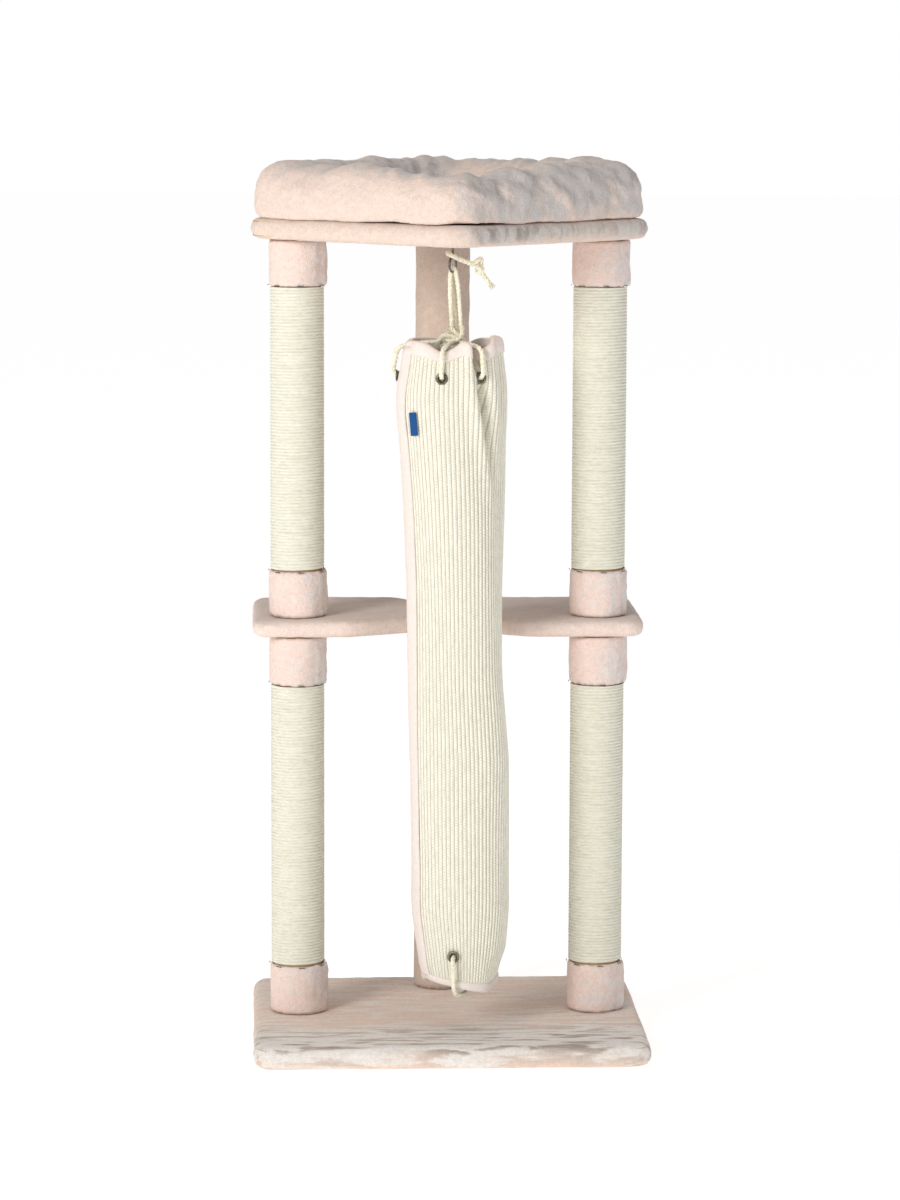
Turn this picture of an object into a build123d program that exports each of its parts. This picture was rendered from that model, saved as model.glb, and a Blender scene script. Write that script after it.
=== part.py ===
from build123d import *
import math
import os

# Free-standing cat tree: a rectangular base, two sisal-wound front posts, one taller plush back post,
# a middle shelf, a square top turned by 45 degrees with a bolster bed on it, and a woven tunnel that
# hangs on a rope from a screw eye under the top.
# Millimetres. X runs left to right, Y front to back, Z up. The origin is on the floor, midway between
# the two front posts.

# ---- driving dimensions -------------------------------------------------------------------------
BASE_WIDTH = 500.0
BASE_DEPTH = 400.0
BASE_FRONT_Y = -208.0
BASE_TOP_Z = 30.0
BASE_CORNER_RADIUS = 24.0

SHELF_BOTTOM_Z = 522.0
SHELF_TOP_Z = 546.0
SHELF_FRONT_Y = -44.0
SHELF_BACK_Y = 184.0
SHELF_CORNER_RADIUS = 22.0
SHELF_SCOOP_DEPTH = 43.0
SHELF_SCOOP_FRONT_X = (-125.0, 94.0)  # ends of the scoop along the front edge
SHELF_SCOOP_BACK_X = (-40.0, 30.0)  # ends of its deepest stretch
SHELF_SCOOP_RADIUS = 34.0
SHELF_NOTCH_MOUTH_RADIUS = 38.0

TOP_BOTTOM_Z = 1027.0
TOP_TOP_Z = 1054.0
TOP_SIDE = 380.0
TOP_CORNER_RADIUS = 40.0

PLUSH = 4.0  # thickness of the plush fabric over every board
BASE_EDGE_RADIUS = 9.0
SHELF_EDGE_RADIUS = 7.0
TOP_EDGE_RADIUS = 9.0
BASE_HEM = 30.0  # how far the base fabric is folded under the board

FRONT_POST_X = 192.5
BACK_POST_X = -2.0
BACK_POST_Y = 137.0
TUBE_RADIUS = 30.5
TUBE_WALL = 4.0
SISAL_RADIUS = 34.5
COLLAR_RADIUS = 36.0
BACK_COVER_RADIUS = 35.5
COLLAR_HEIGHTS = {"lower_bottom": 65.0, "lower_top": 64.0, "upper_bottom": 61.0, "upper_top": 60.0}

PLUG_LENGTH = 18.0
INSERT_RADIUS = 5.5
THREAD_RADIUS = 4.0  # M8 bolts and studs
BOLT_HEAD_RADIUS = 7.5
BOLT_HEAD_HEIGHT = 5.0
WASHER_RADIUS = 11.0
WASHER_THICKNESS = 1.6
COUNTERBORE_DEPTH = 9.0
STUD_REACH = 16.0  # how far a stud or bolt goes into a post plug
SHELF_SCREW_RADIUS = 2.5
SHELF_SCREW_GRIP = 26.0
STAPLE_LENGTH = 8.0
STAPLE_WIRE = 1.0
STAPLES_PER_COLLAR = 7

BED_SIDE = 374.0
BED_WALL = 84.0
BED_HEIGHT = 76.0
BED_CORNER_RADIUS = 40.0
BED_ROUND_OVER = 33.0
PAD_HEIGHT = 26.0
PAD_GAP = 1.0

TUNNEL_Y = -104.0
MAT_THICKNESS = 4.0
BINDING_PROUD = 1.5
SIDE_BINDING_PROUD = 2.0
TOP_BINDING_HEIGHT = 22.0
BOTTOM_BINDING_HEIGHT = 18.0
SIDE_BINDING_ANGLES = (188.0, 213.0)
# height, centre X, half width and half depth of the hanging tunnel, top rim first
TUNNEL_SECTIONS = [
    (893.0, -1.0, 60.0, 46.0),
    (865.0, -1.5, 67.0, 50.0),
    (830.0, -2.0, 70.0, 52.0),
    (780.0, 0.0, 66.5, 51.0),
    (700.0, 3.0, 63.5, 51.0),
    (600.0, 5.0, 60.0, 50.0),
    (480.0, 7.0, 59.0, 50.0),
    (380.0, 11.0, 62.0, 50.0),
    (190.0, 13.0, 61.0, 50.0),
    (140.0, 14.5, 54.0, 46.0),
    (90.0, 15.0, 46.0, 42.0),
]

EYELET_BORE_RADIUS = 4.7
EYELET_BARREL_RADIUS = 5.5
EYELET_FLANGE_RADIUS = 7.7
EYELET_FLANGE = 0.8
TOP_EYELET_Z = 862.0
BOTTOM_EYELET_Z = 132.0
TOP_EYELET_ANGLES = {"front": -102.0, "right": -59.0, "back": 78.0, "left": 175.0}
BOTTOM_EYELET_ANGLES = {"front": -104.0, "back": 78.0}

LABEL_WIDTH = 10.5
LABEL_HEIGHT = 29.0
LABEL_THICKNESS = 1.2
LABEL_ANGLE = -133.0
LABEL_Z = 805.0
LABEL_TILT = 6.0

ROPE_RADIUS = 3.0
ARC_SHARE = 0.45
SCREW_EYE_Z = 1000.0
SCREW_EYE_RADIUS = 9.0  # to the middle of the wire
SCREW_EYE_WIRE = 1.5
SCREW_EYE_TURN = 60.0
SCREW_EYE_GRIP = 15.0  # threaded length in the top board
GATHER_X = 2.0
GATHER_Z = 908.0
GATHER_RADIUS = 12.0
GATHER_HALF_HEIGHT = 9.0

# ---- rope routes, points along the middle of each rope ------------------------------------------
ROPE_ROUTES = {
    "tie_off_rope": [
        (24.6, -114.5, 1001),
        (12.5, -115.5, 1005),
        (0, -113, 1011),
        (-7, -107, 1014),
        (-6, -98, 1015),
        (1.5, -96.5, 1014),
    ],
    "hanging_rope_loop": [
        (-1, -106, 919.5),
        (-6.4, -104, 996),
        (6.6, -104, 996),
        (10.5, -105, 919.5),
    ],
    "hanging_rope_middle": [
        (-3, -97.5, 987),
        (2, -97, 955),
        (4, -99.5, 919.5),
    ],
    "tunnel_rope_front": [
        (-1.2, -119.2, 904),
        (-5.5, -139.2, 903.5),
        (-15, -157, 899),
        (-15.7, -157.7, 883),
        (-17, -159.4, 862.5),
        (-14, -145.2, 862),
    ],
    "tunnel_rope_right": [
        (10, -117.3, 904),
        (20.5, -134.9, 903.5),
        (34, -150.4, 899),
        (35, -151, 883),
        (36.5, -152.5, 862.5),
        (29, -140.2, 862),
    ],
    "tunnel_rope_back": [
        (5.2, -88.8, 904),
        (9.5, -68.8, 903.5),
        (13.1, -51, 899),
        (13.4, -50.3, 883),
        (13.8, -48.6, 862.5),
        (10.8, -62.7, 862),
    ],
    "tunnel_rope_left": [
        (-13.4, -102.6, 904),
        (-34, -101, 903.5),
        (-68, -99.3, 899),
        (-71, -99.2, 883),
        (-75, -99, 862.5),
        (-60.6, -100.3, 862),
    ],
    "tunnel_bottom_rope": [
        (3.8, -140.3, 132),
        (0.3, -154.3, 131.5),
        (1.4, -152.2, 111),
        (2.3, -151, 83),
        (13, -126, 78),
        (21, -104, 76),
        (24, -82, 78),
        (25.9, -56.6, 83),
        (26.3, -55.4, 111),
        (26.9, -53.3, 131.5),
        (23.9, -67.5, 132),
    ],
}

BASE_MID_Y = BASE_FRONT_Y + BASE_DEPTH / 2
FRONT_POSTS = {"left": -FRONT_POST_X, "right": FRONT_POST_X}
POST_FEET = [(-FRONT_POST_X, 0.0), (FRONT_POST_X, 0.0), (BACK_POST_X, BACK_POST_Y)]


# ---- small helpers ------------------------------------------------------------------------------
def save(shape, name):
    export_step(shape, f"parts/{name}.step")


def rod(x, y, z_low, z_high, radius):
    """A plain vertical cylinder."""
    middle = (z_low + z_high) / 2
    return Pos(x, y, middle) * Cylinder(radius, z_high - z_low)


def sleeve(x, y, z_low, z_high, outer, inner):
    """A vertical tube."""
    return rod(x, y, z_low, z_high, outer) - rod(x, y, z_low, z_high, inner)


def group(shapes):
    return Compound(children=list(shapes))


def plate(outline, z_low, z_high):
    return Pos(0, 0, z_low) * extrude(outline, z_high - z_low)


def round_rims(solid, z_level, radius):
    """Rounds the outer edges of a plate that lie at one height."""
    rim = solid.edges().filter_by(lambda edge: abs(edge.center().Z - z_level) < 0.01)
    return fillet(rim.filter_by(lambda edge: abs(edge.bounding_box().size.Z) < 0.01), radius)


# ---- base ---------------------------------------------------------------------------------------
def base_outline(inset):
    width = BASE_WIDTH - 2 * inset
    depth = BASE_DEPTH - 2 * inset
    return Pos(0, BASE_MID_Y) * RectangleRounded(width, depth, max(BASE_CORNER_RADIUS - inset, PLUSH))


def build_base():
    board_low = PLUSH
    board_high = BASE_TOP_Z - PLUSH
    board = plate(base_outline(PLUSH), board_low, board_high)
    whole_board = board
    for x, y in POST_FEET:
        board -= rod(x, y, board_low, board_high, THREAD_RADIUS + 0.3)
        board -= rod(x, y, board_low, board_low + COUNTERBORE_DEPTH, WASHER_RADIUS + 0.4)
    save(board, "base_board")

    cover = plate(base_outline(0), 0, BASE_TOP_Z)
    cover = round_rims(cover, BASE_TOP_Z, BASE_EDGE_RADIUS)
    cover = round_rims(cover, 0, BASE_EDGE_RADIUS - 3)
    cover -= whole_board
    cover -= plate(base_outline(PLUSH + BASE_HEM), 0, board_low)
    for x, y in POST_FEET:
        cover -= rod(x, y, 0, BASE_TOP_Z, THREAD_RADIUS + 0.3)
    save(cover, "base_plush_cover")

    washer_low = board_low + COUNTERBORE_DEPTH - WASHER_THICKNESS
    washer_high = board_low + COUNTERBORE_DEPTH
    washers = [sleeve(x, y, washer_low, washer_high, WASHER_RADIUS, THREAD_RADIUS + 0.2) for x, y in POST_FEET]
    save(group(washers), "base_bolt_washers")
    bolts = []
    for x, y in POST_FEET:
        shank = rod(x, y, washer_low, BASE_TOP_Z + STUD_REACH, THREAD_RADIUS)
        head = Pos(x, y, washer_low - BOLT_HEAD_HEIGHT) * extrude(
            RegularPolygon(BOLT_HEAD_RADIUS, 6), BOLT_HEAD_HEIGHT
        )
        bolts.append(shank + head)
    save(group(bolts), "base_bolts")


# ---- posts --------------------------------------------------------------------------------------
def plug(x, y, z_low, z_high):
    """A turned wooden disc glued in a tube's end, bored for its threaded insert."""
    return sleeve(x, y, z_low, z_high, TUBE_RADIUS - TUBE_WALL, INSERT_RADIUS)


def staple_row(x, y, z):
    """Staple crowns round a collar, close to its cut edge."""
    row = []
    for index in range(STAPLES_PER_COLLAR):
        place = Location((x, y, z), (0, 0, index * 360 / STAPLES_PER_COLLAR + 20))
        crown = Box(STAPLE_WIRE, STAPLE_LENGTH, STAPLE_WIRE)
        row.append(place * Pos(COLLAR_RADIUS + STAPLE_WIRE / 2 + 0.05, 0, 0) * crown)
    return row


def build_front_post(side, x, level, z_low, z_high, plugs):
    """One front post section: tube, two end plugs, sisal winding, and a plush collar at each end."""
    bottom_collar = COLLAR_HEIGHTS[f"{level}_bottom"]
    top_collar = COLLAR_HEIGHTS[f"{level}_top"]
    name = f"{side}_{level}_post"
    save(sleeve(x, 0, z_low, z_high, TUBE_RADIUS, TUBE_RADIUS - TUBE_WALL), f"{name}_tube")
    save(
        sleeve(x, 0, z_low + bottom_collar, z_high - top_collar, SISAL_RADIUS, TUBE_RADIUS),
        f"{name}_sisal_winding",
    )
    save(sleeve(x, 0, z_low, z_low + bottom_collar, COLLAR_RADIUS, TUBE_RADIUS), f"{name}_bottom_collar")
    save(sleeve(x, 0, z_high - top_collar, z_high, COLLAR_RADIUS, TUBE_RADIUS), f"{name}_top_collar")
    save(plug(x, 0, z_low, z_low + PLUG_LENGTH), f"{name}_bottom_plug")
    save(plug(x, 0, z_high - PLUG_LENGTH, z_high), f"{name}_top_plug")
    plugs.append((x, 0, z_low))
    plugs.append((x, 0, z_high - PLUG_LENGTH))
    edge = 2.0
    return staple_row(x, 0, z_low + bottom_collar - edge) + staple_row(x, 0, z_high - top_collar + edge)


def shelf_screw_line(radius, start_y, end_y):
    """A fore-and-aft rod at the shelf's mid height, through the middle of the back post."""
    height = (SHELF_BOTTOM_Z + SHELF_TOP_Z) / 2
    place = Location((BACK_POST_X, (start_y + end_y) / 2, height), (90, 0, 0))
    return place * Cylinder(radius, abs(end_y - start_y))


def build_back_post(plugs):
    """The full-height back post, covered with plush from end to end."""
    x, y = BACK_POST_X, BACK_POST_Y
    screw = shelf_screw_line(SHELF_SCREW_RADIUS, y - 2 * TUBE_RADIUS, y + 2 * TUBE_RADIUS)
    tube = sleeve(x, y, BASE_TOP_Z, TOP_BOTTOM_Z, TUBE_RADIUS, TUBE_RADIUS - TUBE_WALL)
    save(tube - screw, "back_post_tube")
    cover = sleeve(x, y, BASE_TOP_Z, TOP_BOTTOM_Z, BACK_COVER_RADIUS, TUBE_RADIUS)
    save(cover - screw, "back_post_plush_cover")
    save(plug(x, y, BASE_TOP_Z, BASE_TOP_Z + PLUG_LENGTH), "back_post_bottom_plug")
    save(plug(x, y, TOP_BOTTOM_Z - PLUG_LENGTH, TOP_BOTTOM_Z), "back_post_top_plug")
    plugs.append((x, y, BASE_TOP_Z))
    plugs.append((x, y, TOP_BOTTOM_Z - PLUG_LENGTH))


def build_posts():
    """All the posts. Returns the threaded inserts of their plugs."""
    plugs = []
    staples = []
    for side, x in FRONT_POSTS.items():
        staples += build_front_post(side, x, "lower", BASE_TOP_Z, SHELF_BOTTOM_Z, plugs)
        staples += build_front_post(side, x, "upper", SHELF_TOP_Z, TOP_BOTTOM_Z, plugs)
    build_back_post(plugs)
    save(group(staples), "collar_staples")
    return [sleeve(x, y, z, z + PLUG_LENGTH, INSERT_RADIUS, THREAD_RADIUS) for x, y, z in plugs]


# ---- middle shelf -------------------------------------------------------------------------------
def vertices_at(face, places):
    """The corners of a flat face that lie at the given places."""
    return face.vertices().filter_by(
        lambda vertex: any(math.dist((vertex.X, vertex.Y), place) < 0.01 for place in places)
    )


def shelf_outline():
    """The shelf seen from above: a shallow scoop in front of the tunnel, a notch round the back post."""
    depth = SHELF_BACK_Y - SHELF_FRONT_Y
    face = Pos(0, SHELF_FRONT_Y + depth / 2) * RectangleRounded(BASE_WIDTH, depth, SHELF_CORNER_RADIUS)
    deepest_y = SHELF_FRONT_Y + SHELF_SCOOP_DEPTH
    scoop_corners = [
        (SHELF_SCOOP_FRONT_X[0], SHELF_FRONT_Y),
        (SHELF_SCOOP_BACK_X[0], deepest_y),
        (SHELF_SCOOP_BACK_X[1], deepest_y),
        (SHELF_SCOOP_FRONT_X[1], SHELF_FRONT_Y),
    ]
    face -= make_face(Polyline(*scoop_corners, close=True).edges())
    face = fillet(vertices_at(face, scoop_corners), SHELF_SCOOP_RADIUS)

    notch = BACK_COVER_RADIUS + 0.5
    mouth = SHELF_NOTCH_MOUTH_RADIUS
    slot_length = SHELF_BACK_Y - BACK_POST_Y
    face -= Pos(BACK_POST_X, BACK_POST_Y) * Circle(notch)
    face -= Pos(BACK_POST_X, BACK_POST_Y + slot_length / 2) * Rectangle(2 * notch, slot_length)
    mouth_corners = [(BACK_POST_X - notch, SHELF_BACK_Y), (BACK_POST_X + notch, SHELF_BACK_Y)]
    return fillet(vertices_at(face, mouth_corners), mouth)


def build_shelf():
    outline = shelf_outline()
    board_outline = offset(outline, -PLUSH)
    board_low = SHELF_BOTTOM_Z + PLUSH
    board_high = SHELF_TOP_Z - PLUSH
    board = plate(board_outline, board_low, board_high)
    cover = plate(outline, SHELF_BOTTOM_Z, SHELF_TOP_Z)
    cover = round_rims(cover, SHELF_TOP_Z, SHELF_EDGE_RADIUS)
    cover = round_rims(cover, SHELF_BOTTOM_Z, SHELF_EDGE_RADIUS)
    cover -= board
    studs = []
    for x in FRONT_POSTS.values():
        hole = rod(x, 0, SHELF_BOTTOM_Z, SHELF_TOP_Z, THREAD_RADIUS)
        board -= hole
        cover -= hole
        studs.append(rod(x, 0, SHELF_BOTTOM_Z - STUD_REACH, SHELF_TOP_Z + STUD_REACH, THREAD_RADIUS))
    screw_tip = BACK_POST_Y - BACK_COVER_RADIUS - SHELF_SCREW_GRIP
    screw_end = BACK_POST_Y + BACK_COVER_RADIUS
    shank = shelf_screw_line(SHELF_SCREW_RADIUS, screw_tip, screw_end)
    head = shelf_screw_line(2 * SHELF_SCREW_RADIUS, screw_end + 0.1, screw_end + SHELF_SCREW_RADIUS)
    neck = shelf_screw_line(SHELF_SCREW_RADIUS, screw_end, screw_end + SHELF_SCREW_RADIUS)
    save(board - shank, "shelf_board")
    save(cover - shank, "shelf_plush_cover")
    save(group(studs), "shelf_studs")
    save(shank + neck + head, "shelf_to_back_post_screw")


# ---- top board and bed --------------------------------------------------------------------------
def turned_square(side, corner_radius):
    return Rot(0, 0, 45) * RectangleRounded(side, side, corner_radius)


def build_top(inserts):
    board_low = TOP_BOTTOM_Z + PLUSH
    board_high = TOP_TOP_Z - PLUSH
    insert_low = board_low
    insert_high = board_high - 3
    board = plate(turned_square(TOP_SIDE - 2 * PLUSH, TOP_CORNER_RADIUS - PLUSH), board_low, board_high)
    cover = plate(turned_square(TOP_SIDE, TOP_CORNER_RADIUS), TOP_BOTTOM_Z, TOP_TOP_Z)
    cover = round_rims(cover, TOP_TOP_Z, TOP_EDGE_RADIUS)
    cover = round_rims(cover, TOP_BOTTOM_Z, TOP_EDGE_RADIUS)
    cover -= board
    studs = []
    for x, y in POST_FEET:
        board -= rod(x, y, insert_low, insert_high, INSERT_RADIUS)
        cover -= rod(x, y, TOP_BOTTOM_Z, board_low, THREAD_RADIUS)
        inserts.append(sleeve(x, y, insert_low, insert_high, INSERT_RADIUS, THREAD_RADIUS))
        studs.append(rod(x, y, TOP_BOTTOM_Z - STUD_REACH, insert_high - 2, THREAD_RADIUS))
    eye_thread = rod(0, TUNNEL_Y, TOP_BOTTOM_Z, board_low + SCREW_EYE_GRIP, SCREW_EYE_WIRE)
    save(board - eye_thread, "top_board")
    save(cover - eye_thread, "top_plush_cover")
    save(group(studs), "top_studs")
    save(group(inserts), "threaded_inserts")


def build_bed():
    """A stuffed bolster round a flat pad, both closed soft solids."""
    inner_side = BED_SIDE - 2 * BED_WALL
    inner_radius = 18.0
    bed_top = TOP_TOP_Z + BED_HEIGHT
    bolster = plate(turned_square(BED_SIDE, BED_CORNER_RADIUS), TOP_TOP_Z, bed_top)
    bolster -= plate(turned_square(inner_side, inner_radius), TOP_TOP_Z, bed_top)
    bolster = round_rims(bolster, bed_top, BED_ROUND_OVER)
    foot = bolster.edges().filter_by(lambda edge: abs(edge.bounding_box().max.Z - TOP_TOP_Z) < 0.01)
    outer_foot = foot.filter_by(lambda edge: math.hypot(edge.center().X, edge.center().Y) > inner_side * 0.75)
    bolster = fillet(outer_foot, BED_ROUND_OVER / 3)
    save(bolster, "bed_bolster")
    pad = plate(turned_square(inner_side - 2 * PAD_GAP, inner_radius - PAD_GAP), TOP_TOP_Z, TOP_TOP_Z + PAD_HEIGHT)
    save(round_rims(pad, TOP_TOP_Z + PAD_HEIGHT, 9), "bed_pad")


# ---- hanging tunnel -----------------------------------------------------------------------------
def tunnel_at(z):
    """Centre X, half width and half depth of the tunnel at a height."""
    for upper, lower in zip(TUNNEL_SECTIONS, TUNNEL_SECTIONS[1:]):
        if z >= lower[0]:
            share = (z - lower[0]) / (upper[0] - lower[0])
            return [low + share * (high - low) for high, low in zip(upper[1:], lower[1:])]
    return list(TUNNEL_SECTIONS[-1][1:])


def tunnel_point(angle, z, proud):
    """A point that stands a distance proud of the tunnel's outer face."""
    centre, half_width, half_depth = tunnel_at(z)
    turn = math.radians(angle)
    return (
        centre + (half_width + proud) * math.cos(turn),
        TUNNEL_Y + (half_depth + proud) * math.sin(turn),
        z,
    )


def tunnel_normal(angle, z):
    _, half_width, half_depth = tunnel_at(z)
    turn = math.radians(angle)
    return Vector(math.cos(turn) / half_width, math.sin(turn) / half_depth, 0).normalized()


def tunnel_body(proud, longer=0.0):
    """The tunnel filled solid, its face moved outwards and its rims moved apart by set distances."""
    sections = []
    for z, centre, half_width, half_depth in TUNNEL_SECTIONS:
        if z == TUNNEL_SECTIONS[0][0]:
            z += longer
        if z == TUNNEL_SECTIONS[-1][0]:
            z -= longer
        sections.append(Pos(centre, TUNNEL_Y, z) * Ellipse(half_width + proud, half_depth + proud))
    return loft(sections, ruled=True)


def slab(z_low, z_high):
    size = 400.0
    return Pos(0, TUNNEL_Y, (z_low + z_high) / 2) * Box(size, size, z_high - z_low)


def rim_binding(z_edge, z_inner, mat):
    """Plush folded over one rim of the mat, inside and outside."""
    outer = tunnel_body(BINDING_PROUD, BINDING_PROUD)
    inner = tunnel_body(-MAT_THICKNESS - BINDING_PROUD, BINDING_PROUD)
    low = min(z_edge, z_inner) - (BINDING_PROUD if z_edge < z_inner else 0)
    high = max(z_edge, z_inner) + (BINDING_PROUD if z_edge > z_inner else 0)
    return ((outer - inner) & slab(low, high)) - mat


def eyelet_parts(angle, z):
    """An eyelet, and the room that it takes in the mat."""
    frame = Plane(origin=tunnel_point(angle, z, -MAT_THICKNESS / 2), z_dir=tunnel_normal(angle, z))
    reach = MAT_THICKNESS / 2 + 0.6
    outer_flange = Pos(0, 0, reach + EYELET_FLANGE / 2) * Cylinder(EYELET_FLANGE_RADIUS, EYELET_FLANGE)
    inner_flange = Pos(0, 0, -reach - EYELET_FLANGE / 2) * Cylinder(EYELET_FLANGE_RADIUS, EYELET_FLANGE)
    barrel = Cylinder(EYELET_BARREL_RADIUS, 2 * reach)
    body = frame * (barrel + outer_flange + inner_flange)
    bore = frame * Cylinder(EYELET_BORE_RADIUS, 4 * reach)
    return body - bore, body + frame * Cylinder(EYELET_BARREL_RADIUS, 4 * MAT_THICKNESS)


def build_tunnel():
    mat = tunnel_body(0) - tunnel_body(-MAT_THICKNESS)
    top_z = TUNNEL_SECTIONS[0][0]
    bottom_z = TUNNEL_SECTIONS[-1][0]
    save(rim_binding(top_z, top_z - TOP_BINDING_HEIGHT, mat), "tunnel_top_binding")
    save(rim_binding(bottom_z, bottom_z + BOTTOM_BINDING_HEIGHT, mat), "tunnel_bottom_binding")

    band = (tunnel_body(SIDE_BINDING_PROUD) - tunnel_body(0)) & slab(
        bottom_z + BOTTOM_BINDING_HEIGHT, top_z - TOP_BINDING_HEIGHT
    )
    middle_x = tunnel_at((top_z + bottom_z) / 2)[0]
    reach = 200.0
    corners = [(middle_x, TUNNEL_Y)]
    for angle in SIDE_BINDING_ANGLES:
        turn = math.radians(angle)
        corners.append((middle_x + reach * math.cos(turn), TUNNEL_Y + reach * math.sin(turn)))
    wedge = plate(make_face(Polyline(*corners, close=True).edges()), 0, TOP_TOP_Z)
    side_binding = band & wedge

    eyelets = []
    for height, angles in ((TOP_EYELET_Z, TOP_EYELET_ANGLES), (BOTTOM_EYELET_Z, BOTTOM_EYELET_ANGLES)):
        for angle in angles.values():
            eyelet, room = eyelet_parts(angle, height)
            eyelets.append(eyelet)
            mat -= room
            side_binding -= room
    save(mat, "tunnel_woven_mat")
    save(side_binding, "tunnel_side_binding")
    save(group(eyelets), "tunnel_eyelets")

    stand_off = SIDE_BINDING_PROUD + LABEL_THICKNESS + 0.3
    normal = tunnel_normal(LABEL_ANGLE, LABEL_Z)
    level = Vector(-normal.Y, normal.X, 0)
    frame = Plane(origin=tunnel_point(LABEL_ANGLE, LABEL_Z, stand_off), x_dir=level, z_dir=normal)
    save(frame * Rot(0, 0, LABEL_TILT) * Box(LABEL_WIDTH, LABEL_HEIGHT, LABEL_THICKNESS), "tunnel_plain_label")


# ---- screw eye, knots and ropes -----------------------------------------------------------------
def build_screw_eye():
    upright = Rot(0, 0, SCREW_EYE_TURN) * Rot(90, 0, 0)
    ring = Pos(0, TUNNEL_Y, SCREW_EYE_Z) * upright * Torus(SCREW_EYE_RADIUS, SCREW_EYE_WIRE)
    shank_top = TOP_BOTTOM_Z + PLUSH + SCREW_EYE_GRIP
    shank = rod(0, TUNNEL_Y, SCREW_EYE_Z + SCREW_EYE_RADIUS, shank_top, SCREW_EYE_WIRE)
    save(ring + shank, "tunnel_screw_eye")


def ellipsoid(x, y, z, radius, half_height):
    return Pos(x, y, z) * scale(Sphere(radius), (1, 1, half_height / radius))


def rope(name, points):
    """A round rope along straight runs joined by tangent arcs, each as large as its runs allow."""
    places = [Vector(*point) for point in points]
    radii = []
    for before, corner, after in zip(places, places[1:], places[2:]):
        turn = math.radians((corner - before).get_angle(after - corner))
        shorter = min((corner - before).length, (after - corner).length)
        radii.append(ARC_SHARE * shorter / math.tan(turn / 2))
    if radii:
        path = FilletPolyline(*points, radius=radii)
    else:
        path = Line(*points)
    section = Plane(origin=path @ 0, z_dir=path % 0) * Circle(ROPE_RADIUS)
    solid = sweep(section, path=path)
    expected = math.pi * ROPE_RADIUS**2 * path.length
    print(
        f"{name}: length {path.length:.1f} mm, volume ratio {solid.volume / expected:.4f}, "
        f"radii {[round(radius, 1) for radius in radii]}"
    )
    save(solid, name)


def build_knots():
    gather = ellipsoid(GATHER_X, TUNNEL_Y, GATHER_Z, GATHER_RADIUS, GATHER_HALF_HEIGHT)
    tail = Plane(origin=(GATHER_X - 8, TUNNEL_Y - 3, GATHER_Z + 2), z_dir=(-1, -0.3, 0.1)) * Cylinder(
        ROPE_RADIUS - 0.5, 14, align=(Align.CENTER, Align.CENTER, Align.MIN)
    )
    save(gather + tail, "tunnel_gathering_knot")
    stopper = rod(32, -114, 986, 1011, 6.5)
    stopper = fillet(stopper.edges().filter_by(GeomType.CIRCLE), 5.5)
    frayed = Plane(origin=(34, -114.5, 991), z_dir=(16, -3, -20)) * Cylinder(
        ROPE_RADIUS - 0.5, 26, align=(Align.CENTER, Align.CENTER, Align.MIN)
    )
    save(stopper + frayed, "tie_off_knot")


def build_ropes():
    for name, points in ROPE_ROUTES.items():
        rope(name, points)


os.makedirs("parts", exist_ok=True)
build_base()
threaded_inserts = build_posts()
build_shelf()
build_top(threaded_inserts)
build_bed()
build_tunnel()
build_screw_eye()
build_knots()
build_ropes()
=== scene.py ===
"""Looks of a free-standing cat tree: plush boards and bed, sisal posts and a woven tunnel on a rope."""

import logging
import math
from dataclasses import dataclass, field
from enum import Enum
from typing import Callable, Sequence

import bmesh
import bpy
from mathutils import Euler, Matrix, Vector, noise


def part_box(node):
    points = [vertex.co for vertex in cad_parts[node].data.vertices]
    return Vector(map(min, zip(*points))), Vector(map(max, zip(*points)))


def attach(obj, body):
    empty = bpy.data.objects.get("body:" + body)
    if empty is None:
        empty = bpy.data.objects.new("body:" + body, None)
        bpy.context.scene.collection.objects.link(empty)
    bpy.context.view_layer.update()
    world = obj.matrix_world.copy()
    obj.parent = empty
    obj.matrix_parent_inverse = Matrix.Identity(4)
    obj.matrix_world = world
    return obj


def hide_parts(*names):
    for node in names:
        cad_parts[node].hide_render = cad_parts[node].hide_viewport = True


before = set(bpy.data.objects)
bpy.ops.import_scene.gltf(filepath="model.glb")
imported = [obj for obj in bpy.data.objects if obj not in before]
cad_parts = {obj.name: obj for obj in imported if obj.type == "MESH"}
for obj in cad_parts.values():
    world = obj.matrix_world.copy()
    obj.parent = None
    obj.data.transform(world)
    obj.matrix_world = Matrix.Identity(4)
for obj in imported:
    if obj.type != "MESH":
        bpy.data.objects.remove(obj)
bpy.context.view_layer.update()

LOG = logging.getLogger("cat_tree")
MM = 0.001
# Points closer than these are one: on a finished mesh, on a CAD mesh, and along a cut or a seam.
SAME_PLACE = 0.000001
SAME_CAD_PLACE = 0.00001
SAME_SEAM_PLACE = 0.00002
ROOT_BODY = "cat_tree_frame"
ROPES_BODY = "hanging_ropes"
KNOT_BODY = "gathering_knot"
TUNNEL_BODY = "hanging_tunnel"

Mesh = bmesh.types.BMesh
Piece = bpy.types.Object
Socket = bpy.types.NodeSocket
Sockets = dict[str, Socket]
Triple = tuple[float, float, float]

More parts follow.
